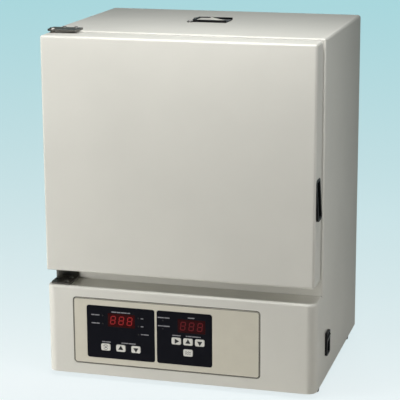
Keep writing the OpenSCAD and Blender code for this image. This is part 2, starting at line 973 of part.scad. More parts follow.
// A three-digit display that reaches from its board to the window's face
module digit_display(x) {
  upright(window_face, board_y - window_face)
    translate([x, dz])
      square([display_w, display_h], center = true);
}

module temperature_display() {
  color("#5a1414")
    digit_display(left_display_x);
}

module timer_display() {
  color("#4a1212")
    digit_display(right_display_x);
}

module indicator_lamps() {
  color("#c8c6bc")
    at_every_lamp()
      translate([0, window_face, 0])
        rod_y(lamp_d, board_y - window_face);
}

module control_board() {
  color("#2c5b3a")
    difference() {
      upright(board_y, board_t)
        translate([plate_x, pz])
          square([plate_w - 2 * board_side, plate_h - 2 * board_end], center = true);
      at_standoffs()
        translate([0, board_y - 1, 0])
          rod_y(standoff_screw_d + 0.4, board_t + 2);
    }
}

// Standoffs between the carrier and the board
board_side = 6;
board_end = 7;
standoff_d = 7;
standoff_screw_d = 3;
standoff_head_h = 2;
standoff_side = 12;
standoff_end = 13;

module at_standoffs() {
  x = plate_w / 2 - standoff_side;
  z = plate_h / 2 - standoff_end;
  for (sx = [-1, 1], sz = [-1, 1])
    translate([plate_x + sx * x, 0, pz + sz * z])
      children();
}

module board_standoffs() {
  color(steel)
    at_standoffs() {
      translate([0, carrier_y, 0])
        rod_y(standoff_d, board_y - carrier_y);
      translate([0, board_y - eps, 0])
        rod_y(standoff_screw_d, board_t + 1);
      translate([0, board_y + board_t, 0])
        rod_y(2 * standoff_screw_d, standoff_head_h);
    }
}

module key_switches() {
  body_w = 6;
  body_d = 2.6;
  button_d = 3.4;
  color(black)
    at_every_key() {
      upright(board_y - body_d, body_d)
        square([body_w, body_w], center = true);
      translate([0, plunger_end, 0])
        rod_y(button_d, board_y - body_d - plunger_end + eps);
    }
}

// One key: its cap in the window, and its stem with the collar that keeps it in
module key_at(window_x, p) {
  collar_t = 0.8;
  color("#dcdbd6")
    translate([window_x + p[0], 0, pz + p[1]]) {
      upright(key_face, key_back - key_face)
        rounded(key_w, key_h, key_r);
      translate([0, key_back - eps, 0])
        rod_y(key_stem_d, stem_end - key_back + eps);
      translate([0, carrier_y + rest_gap, 0])
        rod_y(key_collar_d, collar_t);
    }
}

module run_key() {
  key_at(left_window_x, left_keys[0]);
}

module heat_up_key() {
  key_at(left_window_x, left_keys[1]);
}

module heat_down_key() {
  key_at(left_window_x, left_keys[2]);
}

module select_key() {
  key_at(right_window_x, right_keys[0]);
}

module time_up_key() {
  key_at(right_window_x, right_keys[1]);
}

module time_down_key() {
  key_at(right_window_x, right_keys[2]);
}

module program_key() {
  key_at(right_window_x, low_key);
}

module switch_cutout() {
  w = switch_w - 2 * switch_wall;
  h = switch_h - 2 * switch_wall;
  translate([side_in - 1, sw_y - w / 2, sw_z - h / 2])
    cube([sheet_t + 2, w, h]);
}

module switch_bezel() {
  body_gap = 0.2;
  body_w = switch_w - 2 * switch_wall - 2 * body_gap;
  body_h = switch_h - 2 * switch_wall - 2 * body_gap;
  tab_w = 6;
  tab_t = 0.8;
  tab_l = 7;
  color(black)
    difference() {
      union() {
        side_plate(sw_x, bezel_t)
          translate([sw_y, sw_z])
            rounded(switch_w, switch_h, 3);
        translate([sw_x - switch_depth, sw_y - body_w / 2, sw_z - body_h / 2])
          cube([switch_depth + eps, body_w, body_h]);
        for (sz = [-1, 1])
          translate([sw_x - switch_depth - tab_l, sw_y - tab_w / 2, sw_z + sz * body_h / 4 - tab_t / 2])
            cube([tab_l + eps, tab_w, tab_t]);
      }
      translate([sw_x - well_depth, sw_y - switch_w / 2 + bezel_rim, sw_z - switch_h / 2 + bezel_rim])
        cube([well_depth + bezel_t + 1, switch_w - 2 * bezel_rim, switch_h - 2 * bezel_rim]);
    }
}

// The rocker is drawn tipped to one side, as it rests
module switch_rocker() {
  color("#26272a")
    translate([rocker_pivot_x, sw_y + rocker_w / 2, sw_z])
      rotate([0, rocker_tilt, 0])
        rotate([90, 0, 0])
          linear_extrude(rocker_w)
            polygon([
              [0, 1 - rocker_half],
              [rocker_tip, -rocker_half],
              [rocker_mid, 0],
              [rocker_tip, rocker_half],
              [0, rocker_half - 1],
              [-rocker_back, 2 * rocker_back],
              [-rocker_back, -2 * rocker_back]
            ]);
}

module transformer() {
  x = -case_w / 4;
  y = case_d / 8;
  w = 62;
  d = 54;
  h = 52;
  coil_w = 14;
  coil_out = 6;
  yoke_h = 12;
  color("#4a4d52")
    difference() {
      translate([x - w / 2, y - d / 2, bay_z])
        cube([w, d, h]);
      for (sx = [-1, 1])
        translate([x + sx * w / 4 - coil_w / 2, y - d / 2 - 1, bay_z + yoke_h])
          cube([coil_w, d + 2, h - 2 * yoke_h]);
    }
  color("#b5762d")
    for (sx = [-1, 1])
      translate([x + sx * w / 4 - coil_w / 2, y - d / 2 - coil_out, bay_z + yoke_h])
        cube([coil_w, d + 2 * coil_out, h - 2 * yoke_h]);
}

// The heat sink's fins stand on the bottom plate and its plate lies on them
sink_fin_h = 34;
sink_plate_t = 6;
relay_z = bay_z + sink_fin_h + sink_plate_t;

module relay_heat_sink() {
  fin_t = 2;
  fin_n = 8;
  w = 80;
  d = 70;
  color("#8f9296")
    translate([case_w / 4 - w / 2, case_d / 8 - d / 2, bay_z]) {
      translate([0, 0, sink_fin_h])
        cube([w, d, sink_plate_t]);
      for (i = [0:fin_n - 1])
        translate([i * (w - fin_t) / (fin_n - 1), 0, 0])
          cube([fin_t, d, sink_fin_h + eps]);
    }
}

module solid_state_relay() {
  w = 44;
  d = 58;
  h = 24;
  well_d = 7;
  well_h = 6;
  color("#e4e2da")
    difference() {
      translate([case_w / 4 - w / 2, case_d / 8 - d / 2, relay_z])
        cube([w, d, h]);
      for (sx = [-1, 1], sy = [-1, 1])
        translate([case_w / 4 + sx * w / 4, case_d / 8 + sy * (d / 2 - well_h), relay_z + h - well_h])
          cylinder(d = well_d, h = well_h + 1);
    }
}

module terminal_block() {
  well_d = 6;
  color("#e9e7e0")
    difference() {
      translate([-term_w / 2, term_y - term_d / 2, bay_z])
        cube([term_w, term_d, term_h]);
      for (i = [0:3])
        translate([(i - 1.5) * term_w / 4, term_y - well_d, bay_z + term_h - well_d])
          cylinder(d = well_d, h = well_d + 1);
    }
}

module fuse_holder() {
  cap_d = fuse_d + 4;
  cap_h = 3;
  body_l = 32;
  color(black)
    translate([fuse_x, back_y, gland_z]) {
      rod_y(cap_d, cap_h);
      translate([0, -body_l, 0])
        rod_y(fuse_d, body_l + 1);
    }
}

module cable_gland() {
  hex_d = 24;
  hex_t = 4;
  dome_d = 18;
  dome_l = 7;
  thread_l = 16;
  color(black)
    translate([gland_x, back_y, gland_z])
      difference() {
        union() {
          rotate([-90, 0, 0])
            cylinder(d = hex_d, h = hex_t, $fn = 6);
          rod_y(dome_d, dome_l);
          translate([0, -thread_l, 0])
            rod_y(gland_thread_d, thread_l + 1);
        }
        translate([0, -thread_l - 1, 0])
          rod_y(gland_bore, thread_l + dome_l + 2);
      }
}

module gland_nut() {
  nut_d = 25;
  nut_t = 5;
  color(black)
    translate([gland_x, back_y - sheet_t - nut_t, gland_z])
      difference() {
        rotate([-90, 0, 0])
          cylinder(d = nut_d, h = nut_t, $fn = 6);
        translate([0, -1, 0])
          rod_y(gland_thread_d + 0.1, nut_t + 2);
      }
}

// A hinge leaf lying flat, with a round corner about the pin
module bracket_leaf(x0, y0, x1, y1) {
  r = bracket_r;
  linear_extrude(bracket_t) {
    translate([x0 + r, y0])
      square([x1 - x0 - r, y1 - y0]);
    translate([x0, y0 + r])
      square([x1 - x0, y1 - y0 - r]);
    translate([x0 + r, y0 + r])
      circle(r);
  }
}

// Holes down through a leaf: one for the pin and one for each screw
module leaf_holes(z, screws) {
  translate([pin_x, pin_y, z - 1])
    cylinder(d = pin_d, h = bracket_t + 2);
  for (s = screws)
    translate([s[0], s[1], z - 1])
      cylinder(d = screw_d, h = bracket_t + 2);
}

module hinge_bracket_top() {
  color(steel)
    difference() {
      translate([0, 0, top_z])
        bracket_leaf(top_bracket_x0, top_bracket_y0, top_bracket_x0 + bracket_w, cab_y + bracket_back);
      leaf_holes(top_z, top_screws);
    }
}

module hinge_bracket_bottom() {
  leaf_h = door_bottom_gap - bracket_leaf_gap;
  color(steel)
    difference() {
      union() {
        translate([0, 0, deck_z])
          bracket_leaf(bracket_x0, low_bracket_y0, bracket_x0 + low_bracket_w, cab_y);
        translate([bracket_x0, cab_y - bracket_leaf_t, deck_z])
          cube([low_bracket_w, bracket_leaf_t, leaf_h]);
      }
      leaf_holes(deck_z, low_screws);
    }
}

module hinge_pins() {
  head_d = 12;
  head_h = 2.5;
  collar_d = pin_d + 2;
  collar_z = deck_z + bracket_t;
  color(steel)
    translate([pin_x, pin_y, 0]) {
      translate([0, 0, top_z + bracket_t])
        cylinder(d1 = head_d, d2 = head_d - 3, h = head_h);
      translate([0, 0, door_z1 - bush_h])
        cylinder(d = pin_d, h = top_z + bracket_t - door_z1 + bush_h + eps);
      translate([0, 0, deck_z])
        cylinder(d = pin_d, h = door_z0 + bush_h - deck_z);
      translate([0, 0, collar_z])
        cylinder(d = collar_d, h = door_z0 - rest_gap - collar_z);
    }
}

module hinge_bushes() {
  color("#b08d4a")
    translate([pin_x, pin_y, 0])
      for (z = [door_z0, door_z1 - bush_h])
        difference() {
          translate([0, 0, z])
            cylinder(d = bush_d, h = bush_h);
          translate([0, 0, z - 1])
            cylinder(d = pin_d + 2 * pin_clear, h = bush_h + 2);
        }
}

module bracket_screws() {
  color(steel) {
    for (s = top_screws)
      translate([s[0], s[1], top_z + bracket_t])
        screw_down(bracket_t);
    for (s = low_screws)
      translate([s[0], s[1], deck_z + bracket_t])
        screw_down(bracket_t);
    for (y = vent_ear_ys)
      translate([vent_ear_x, y, top_z + vent_floor_t])
        screw_down(vent_floor_t);
  }
}

module back_screws() {
  color(steel)
    for (sx = [-1, 1], k = [0:3])
      translate([sx * (side_in - 8), back_y, floor_z + 20 + k * (case_h - 40) / 3])
        rotate([-90, 0, 0])
          cylinder(d1 = screw_head_d, d2 = screw_tip_d, h = screw_head_h);
}

// Places of the door catch, up and down the opening side
catch_x = chamber_w / 2 + liner_flange + 9;
catch_rise = 110;
catch_zs = [ch_mid - catch_rise, ch_mid + catch_rise];
catch_w = 8;
catch_h = 40;
strike_t = 1.2;
strike_edge = 1;
strike_end = 2;

module catch_magnets() {
  color("#3a3a3c")
    for (z = catch_zs)
      translate([catch_x - catch_w / 2, cab_y - door_gap + strike_t + seal_gap, z - catch_h / 2])
        cube([catch_w, door_gap - strike_t - seal_gap, catch_h]);
}

module strike_plates() {
  color(steel)
    for (z = catch_zs)
      translate([catch_x - catch_w / 2 - strike_edge, door_back, z - catch_h / 2 - strike_end])
        cube([catch_w + 2 * strike_edge, strike_t, catch_h + 2 * strike_end]);
}

// The solid form of the door, shrunk inwards by s
module door_form(s) {
  w = door_w - 2 * s;
  h = door_h - 2 * s;
  r = door_edge_r - s;
  back = door_back + (s > 0 ? 1 : 0);
  d = back - front_y - s;
  intersection() {
    upright(front_y + s, d)
      translate([door_xm, door_zm])
        rounded(w, h, r);
    translate([door_xm, 0, door_z0 + s])
      linear_extrude(h)
        for (m = [0, 1])
          mirror([m, 0, 0])
            translate([0, back])
              mirror([0, 1])
                fold_profile(w / 2, d, r);
    side_plate(door_x0 + s, w)
      for (m = [0, 1])
        translate([back, door_zm])
          mirror([1, 0])
            mirror([0, m])
              fold_profile(d, h / 2, r);
  }
}

// The handle's place on the door's side
grip_y0 = front_y + handle_front;
grip_z0 = floor_z + handle_z;
pocket_margin = 5;

module grip_body(gap) {
  translate([
    door_x1 - pocket_depth - pocket_wall - gap,
    grip_y0 + pocket_margin - pocket_wall - gap,
    grip_z0 + pocket_margin - pocket_wall - gap
  ])
    cube([
      pocket_depth + pocket_wall + gap + 1,
      handle_w - 2 * pocket_margin + 2 * pocket_wall + 2 * gap,
      handle_h - 2 * pocket_margin + 2 * pocket_wall + 2 * gap
    ]);
}

module handle_grip() {
  color(black)
    difference() {
      union() {
        intersection() {
          side_plate(door_x1, handle_out_foot + 1)
            translate([grip_y0 + handle_w / 2, grip_z0 + handle_h / 2])
              rounded(handle_w, handle_h, 6);
          upright(grip_y0 - 1, handle_w + 2)
            polygon([
              [door_x1, grip_z0],
              [door_x1 + handle_out_foot, grip_z0],
              [door_x1 + handle_out_foot, grip_z0 + 6],
              [door_x1 + handle_out_top, grip_z0 + handle_h],
              [door_x1, grip_z0 + handle_h]
            ]);
        }
        intersection() {
          grip_body(0);
          translate([0, front_y, 0])
            cube([door_x1 + eps, door_t, case_h]);
        }
      }
      translate([door_x1 - pocket_depth, grip_y0 + pocket_margin, grip_z0 + pocket_margin])
        cube([pocket_depth + 10, handle_w - 2 * pocket_margin, handle_h - 2 * pocket_margin]);
    }
}

module door_skin() {
  color(cream)
    difference() {
      door_form(0);
      door_form(skin_t);
      grip_body(0.2);
      translate([pin_x, pin_y, door_z0 - 1])
        cylinder(d = bush_d, h = door_h + 2);
    }
}

module door_insulation() {
  gap = 0.5;
  color("#e6dfae")
    difference() {
      translate([door_x0 + skin_t + door_edge_r, front_y + skin_t, door_z0 + skin_t + door_edge_r])
        cube([
          door_w - 2 * skin_t - 2 * door_edge_r,
          door_t - skin_t - panel_t,
          door_h - 2 * skin_t - 2 * door_edge_r
        ]);
      grip_body(gap);
      translate([pin_x, pin_y, door_z0 - 1])
        cylinder(d = bush_d + 2 * gap, h = door_h + 2);
    }
}

module door_inner_panel() {
  w = chamber_w - 2 * plug_gap;
  h = chamber_h - 2 * plug_gap;
  color(stainless)
    difference() {
      union() {
        upright(door_back - panel_t, panel_t)
          translate([door_xm, door_zm])
            rounded(door_w - 2 * skin_t, door_h - 2 * skin_t, door_edge_r - skin_t);
        upright(door_back - eps, plug_t + eps)
          translate([0, ch_mid])
            rounded(w, h, plug_r);
      }
      upright(door_back - panel_t - 1, plug_t + 1)
        translate([0, ch_mid])
          rounded(w - 2 * panel_t, h - 2 * panel_t, plug_r - panel_t);
      translate([pin_x, pin_y, door_z0 - 1])
        cylinder(d = bush_d, h = door_h + 2);
    }
}

module door_gasket() {
  w = chamber_w + 2 * gasket_lap;
  h = chamber_h + 2 * gasket_lap;
  color("#9a4a3a")
    difference() {
      upright(door_back, gasket_t)
        translate([0, ch_mid])
          rounded(w + 2 * gasket_w, h + 2 * gasket_w, gasket_r + gasket_w);
      upright(door_back - 1, gasket_t + 2)
        translate([0, ch_mid])
          rounded(w, h, gasket_r);
    }
}

module door_screws() {
  color(steel)
    for (sx = [-1, 1], sz = [-1, 1])
      translate([sx * door_screw_x, door_back, ch_mid + sz * door_screw_z])
        rotate([-90, 0, 0])
          cylinder(d1 = screw_head_d, d2 = screw_tip_d, h = screw_head_h);
}

casing_shell();
base_front_panel();
front_frame();
back_panel();
bottom_plate();
deck_plate();
feet();
chamber_liner();
chamber_insulation();
shelf_rails();
shelf_upper();
shelf_lower();
floor_plate();
heater_elements();
heater_leads();
temperature_probe();
overheat_thermostat();
exhaust_duct();
vent_frame();
vent_slider();
control_carrier();
overlay_plate();
display_windows();
temperature_display();
timer_display();
indicator_lamps();
control_board();
board_standoffs();
key_switches();
run_key();
heat_up_key();
heat_down_key();
select_key();
time_up_key();
time_down_key();
program_key();
switch_bezel();
switch_rocker();
transformer();
solid_state_relay();
relay_heat_sink();
terminal_block();
fuse_holder();
cable_gland();
gland_nut();
hinge_bracket_top();
hinge_bracket_bottom();
hinge_pins();
bracket_screws();
back_screws();
catch_magnets();
door_skin();
door_inner_panel();
door_insulation();
door_gasket();
handle_grip();
hinge_bushes();
strike_plates();
door_screws();
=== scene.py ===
"""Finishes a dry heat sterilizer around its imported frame, and sets the stage for it."""

import json
import math
from functools import partial

import bmesh
import bpy
from bpy.props import FloatProperty, FloatVectorProperty, IntProperty, PointerProperty
from mathutils import Matrix, Vector


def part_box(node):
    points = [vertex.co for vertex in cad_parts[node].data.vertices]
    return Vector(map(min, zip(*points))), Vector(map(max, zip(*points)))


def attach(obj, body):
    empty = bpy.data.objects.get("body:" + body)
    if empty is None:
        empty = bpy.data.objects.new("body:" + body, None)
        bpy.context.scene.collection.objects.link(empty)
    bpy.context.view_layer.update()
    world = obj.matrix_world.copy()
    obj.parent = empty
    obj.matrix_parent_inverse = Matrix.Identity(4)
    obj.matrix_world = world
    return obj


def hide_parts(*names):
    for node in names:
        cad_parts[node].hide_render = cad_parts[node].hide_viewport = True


bl_info = {
    "name": "Dry Heat Sterilizer",
    "version": (1, 0, 0),
    "blender": (4, 5, 0),
    "location": "3D View > Sidebar > Sterilizer",
    "description": "Builds the finished pieces of a bench sterilizer on its frame",
    "category": "Object",
}

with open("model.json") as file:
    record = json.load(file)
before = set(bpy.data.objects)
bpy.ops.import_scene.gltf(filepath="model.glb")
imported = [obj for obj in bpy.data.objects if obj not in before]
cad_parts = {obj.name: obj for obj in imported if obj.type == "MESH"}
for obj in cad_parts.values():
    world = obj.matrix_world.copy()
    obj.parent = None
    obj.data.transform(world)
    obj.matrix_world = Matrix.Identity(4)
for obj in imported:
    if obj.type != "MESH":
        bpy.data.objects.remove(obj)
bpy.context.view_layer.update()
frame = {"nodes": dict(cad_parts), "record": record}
MM = 0.001
BODY_OF = {n: body for body, names in frame["record"]["behaviour"]["bodies"].items() for n in names}
SLOT_OF = {p["node"]: p["material_slot"] for p in frame["record"]["subparts"]}
# Turn between two faces, in degrees, from which their edge counts as sharp
SHARP_ANGLE = 40
# Turn up to which two faces count as one flat
FLAT_ANGLE = 0.3
# Points closer than this, in metres, are one point
SAME_POINT = 2e-6
# Nodes by the radius of their soft edges, in millimetres
SOFT_EDGES = {
    0.1: ("display_windows", "temperature_display", "timer_display"),
    0.2: ("overlay_plate", "vent_slider"),
    0.3: ("strike_plates", "hinge_bushes", "vent_frame"),
    0.4: (
        "hinge_bracket_top", "hinge_bracket_bottom", "hinge_pins", "cable_gland", "fuse_holder", "gland_nut"
    ),
    0.5: ("catch_magnets",),
    0.6: ("switch_bezel",),
    0.7: ("handle_grip",),
    0.8: ("feet", "switch_rocker"),
}
EDGE_OF = {node: radius * MM for radius, nodes in SOFT_EDGES.items() for node in nodes}


# Sizes and colours


def colour(name, default, text):
    """A colour property with a default in linear red, green and blue."""
    return FloatVectorProperty(
        name=name, description=text, subtype="COLOR", size=3, min=0, max=1, default=default
    )


def length(name, default, text):
    """A length property in metres."""
    return FloatProperty(name=name, description=text, default=default, unit="LENGTH", precision=5, min=0)


def level(name, default, text):
    """A number without a unit, or a lamp's power."""
    return FloatProperty(name=name, description=text, default=default, min=0)


class PaintSettings(bpy.types.PropertyGroup):
    """Colours of the painted sheet and of what is moulded."""

    paint: colour("Paint", (0.71, 0.70, 0.64), "Colour of the baked enamel")
    plastic: colour("Black plastic", (0.005, 0.005, 0.0055), "Colour of the handle, switch and shutter frame")
    peel: length("Orange peel", 0.0016, "Size of the paint's fine waves")
    edge: length("Sheet edge", 0.0005, "Roundness of the edges of the painted sheets")


class ControlSettings(bpy.types.PropertyGroup):
    """Colours and sizes of the control plate."""

    film: colour("Film", (0.66, 0.63, 0.53), "Colour of the control plate")
    window: colour("Window", (0.0032, 0.0034, 0.0072), "Colour of the dark windows")
    key: colour("Key", (0.74, 0.73, 0.68), "Colour of the keys")
    print_white: colour("White print", (0.28, 0.28, 0.30), "Colour of the legends")
    hot_digit: colour("Bright digits", (0.165, 0.011, 0.012), "Light of the temperature digits")
    dim_digit: colour("Dim digits", (0.068, 0.007, 0.009), "Light of the timer digits")
    print_t: length("Print thickness", 0.00005, "How far prints stand proud")
    border_w: length("Border line", 0.0008, "Width of the dark line round the control plate")
    border_in: length("Border inset", 0.0004, "Distance of that line from the plate's edge")
    corner_r: length("Plate corner", 0.005, "Corner radius of the control plate")
    symbol_r: length("Key symbol", 0.0050, "Radius of a key's triangle")
    digit_h: length("Digit height", 0.0148, "Height of a digit")
    digit_pitch: length("Digit pitch", 0.0142, "Distance between digits")
    legend_h: length("Legend height", 0.0017, "Height of the printed bars")
    legend_gap: length("Legend gap", 0.0007, "Distance between the bars of one legend")
    key_edge: length("Key edge", 0.0004, "Roundness of the edges of the keys")


class ChamberSettings(bpy.types.PropertyGroup):
    """Sizes of what stands in the chamber."""

    wire_d: length("Wire", 0.0025, "Diameter of the shelf wires")
    rod_d: length("Rod", 0.005, "Diameter of the shelf frames")
    wire_count: IntProperty(name="Wires", description="Wires in one shelf", default=17, min=3)
    steel: colour("Steel", (0.56, 0.57, 0.58), "Colour of the stainless sheet")


class StageSettings(bpy.types.PropertyGroup):
    """Floor, lamps and camera."""

    high: colour("Backdrop", (0.48, 0.82, 0.87), "Colour of the backdrop's top")
    low: colour("Floor", (0.90, 0.97, 0.985), "Colour of the floor in front")
    neutral: colour("Floor in light", (0.80, 0.78, 0.73), "Colour that the floor throws on the object")
    main_lamp: level("Main lamp", 23, "Power of the main lamp")
    top_lamp: level("Top lamp", 5.3, "Power of the lamp over the top")
    side_lamp: level("Side lamp", 0.95, "Power of the lamp at the right")
    back_lamp: level("Back lamp", 3.0, "Power of the lamp behind")
    sky: level("Even light", 0.03, "Strength of the light from all round")
    lens: FloatProperty(name="Lens", description="Focal length", default=134.12, unit="CAMERA")


SETTINGS = {
    "sterilizer_paint": PaintSettings,
    "sterilizer_control": ControlSettings,
    "sterilizer_chamber": ChamberSettings,
    "sterilizer_stage": StageSettings,
}


def paint_set():
    return bpy.context.scene.sterilizer_paint


def control_set():
    return bpy.context.scene.sterilizer_control


def chamber_set():
    return bpy.context.scene.sterilizer_chamber


def stage_set():
    return bpy.context.scene.sterilizer_stage


# Finishes


def math_node(tree, operation, first, second):
    """One operation on two values of a node tree, each a number or a socket."""
    node = tree.nodes.new("ShaderNodeMath")
    node.operation = operation
    for socket, value in zip(node.inputs, (first, second)):
        if isinstance(value, (int, float)):
            socket.default_value = value
        else:
            tree.links.new(value, socket)
    return node.outputs[0]


class Finish:
    """One material under construction, with short calls for the nodes used here."""

    def __init__(self, name):
        self.material = bpy.data.materials.new(name)
        self.material.use_nodes = True
        self.nodes = self.material.node_tree.nodes
        self.link = self.material.node_tree.links.new
        self.nodes.clear()
        self.skin = self.add("ShaderNodeBsdfPrincipled")
        self.link(self.skin.outputs[0], self.add("ShaderNodeOutputMaterial").inputs[0])
        self.place = self.add("ShaderNodeTexCoord").outputs["Object"]

    def add(self, kind, **values):
        node = self.nodes.new(kind)
        for key, value in values.items():
            node.inputs[key.replace("_", " ")].default_value = value
        return node

    def set(self, **values):
        """Values of the surface's own inputs, with an underscore for each space of their names."""
        for key, value in values.items():
            if isinstance(value, (tuple, list)) and len(value) == 3:
                value = (*value, 1)
            self.skin.inputs[key.replace("_", " ")].default_value = value
        return self

    def noise(self, size, stretch=(1, 1, 1), detail=3.0):
        """Noise whose spots are about size metres wide, drawn out along an axis by stretch."""
        turn = self.add("ShaderNodeMapping", Scale=[1 / s for s in stretch])
        self.link(self.place, turn.inputs["Vector"])
        node = self.add("ShaderNodeTexNoise", Scale=1 / size, Detail=detail)
        self.link(turn.outputs[0], node.inputs["Vector"])
        return node.outputs["Fac"]

    def spread(self, value, low, high, start=0.3, end=0.7):
        """The value's middle range mapped to low and high."""
        node = self.add("ShaderNodeMapRange", From_Min=start, From_Max=end, To_Min=low, To_Max=high)
        self.link(value, node.inputs["Value"])
        return node.outputs["Result"]

    def math(self, operation, first, second):
        return math_node(self.material.node_tree, operation, first, second)

    def blend(self, value, first, second):
        """A colour that goes from first to second with the value; each is a colour or a socket."""
        node = self.nodes.new("ShaderNodeMix")
        node.data_type = "RGBA"
        sockets = [s for s in node.inputs if s.type == "RGBA"]
        for socket, tone in zip(sockets, (first, second)):
            if isinstance(tone, bpy.types.NodeSocket):
                self.link(tone, socket)
            else:
                socket.default_value = (*tone, 1)
        self.link(value, node.inputs["Factor"])
        return next(s for s in node.outputs if s.type == "RGBA")

    def tint(self, value, first, second):
        """The base colour goes from first to second with the value."""
        self.link(self.blend(value, first, second), self.skin.inputs["Base Color"])
        return self

    def rough(self, value, low, high):
        """Roughness that varies between low and high."""
        self.link(self.spread(value, low, high), self.skin.inputs["Roughness"])
        return self

    def bump(self, value, depth):
        """Relief of this depth in metres."""
        node = self.add("ShaderNodeBump", Strength=1.0, Distance=depth)
        self.link(value, node.inputs["Height"])
        self.link(node.outputs[0], self.skin.inputs["Normal"])
        return self


def shade(rgb, factor):
    """A colour made darker or lighter."""
    return tuple(min(1.0, c * factor) for c in rgb)


def painted(name, rgb, tones=(0.975, 1.02), rough=(0.40, 0.50), depth=0.00002):
    """Baked enamel: faint waves, slight clouding and a soft sheen."""
    cloud_size, sheen_size = 0.12, 0.004
    f = Finish(name).set(Coat_Weight=0.12, Coat_Roughness=0.3)
    cloud = f.noise(cloud_size, detail=2.0)
    f.tint(f.spread(cloud, 0, 1), shade(rgb, tones[0]), shade(rgb, tones[1]))
    f.rough(f.noise(sheen_size), *rough)
    return f.bump(f.noise(paint_set().peel, detail=1.0), depth)


def brushed(name, rgb, along=(30, 1, 1), rough=(0.26, 0.40), metal=1.0):
    """Sheet metal with fine lines along one axis."""
    line_size, cloud_size, dark, depth = 0.0006, 0.05, 0.93, 0.000012
    f = Finish(name).set(Metallic=metal)
    lines = f.noise(line_size, stretch=along, detail=2.0)
    f.tint(f.spread(f.noise(cloud_size), 0, 1), shade(rgb, dark), rgb)
    f.rough(lines, *rough)
    return f.bump(lines, depth)


def spangled(name, rgb, cells_per_metre=140.0, dark=0.8, rough=(0.3, 0.5)):
    """Zinc-plated sheet with crystal patches."""
    f = Finish(name).set(Metallic=1.0)
    cells = f.add("ShaderNodeTexVoronoi", Scale=cells_per_metre)
    f.link(f.place, cells.inputs["Vector"])
    f.tint(f.spread(cells.outputs["Distance"], 0, 1, 0.1, 0.8), shade(rgb, dark), rgb)
    return f.rough(cells.outputs["Distance"], *rough)


def moulded(name, rgb, grain=0.0007, rough=(0.34, 0.5), depth=0.00003, gloss=0.5, tones=(0.85, 1.1)):
    """Moulded plastic with a fine eroded texture."""
    cloud_size, sheen_size = 0.02, 0.006
    f = Finish(name).set(Specular_IOR_Level=gloss)
    f.tint(f.spread(f.noise(cloud_size), 0, 1), shade(rgb, tones[0]), shade(rgb, tones[1]))
    f.rough(f.noise(sheen_size), *rough)
    return f.bump(f.noise(grain, detail=1.0), depth)


def fibrous(name, rgb, fibre=0.003, dark=0.62, depth=0.0012):
    """Mineral wool: tangled fibres with darker knots."""
    f = Finish(name).set(Sheen_Weight=0.3)
    web = f.noise(fibre, stretch=(3, 1, 1), detail=8.0)
    f.tint(f.spread(web, 0, 1), shade(rgb, dark), rgb)
    f.set(Roughness=0.95)
    return f.bump(web, depth)


def lit(name, rgb, glow, rough=0.25, tones=(0.5, 0.75)):
    """A red filter or digit that glows faintly."""
    speck = 0.002
    f = Finish(name).set(Roughness=rough, Specular_IOR_Level=0.1, Emission_Color=rgb, Emission_Strength=glow)
    return f.tint(f.spread(f.noise(speck), 0, 1), shade(rgb, tones[0]), shade(rgb, tones[1]))


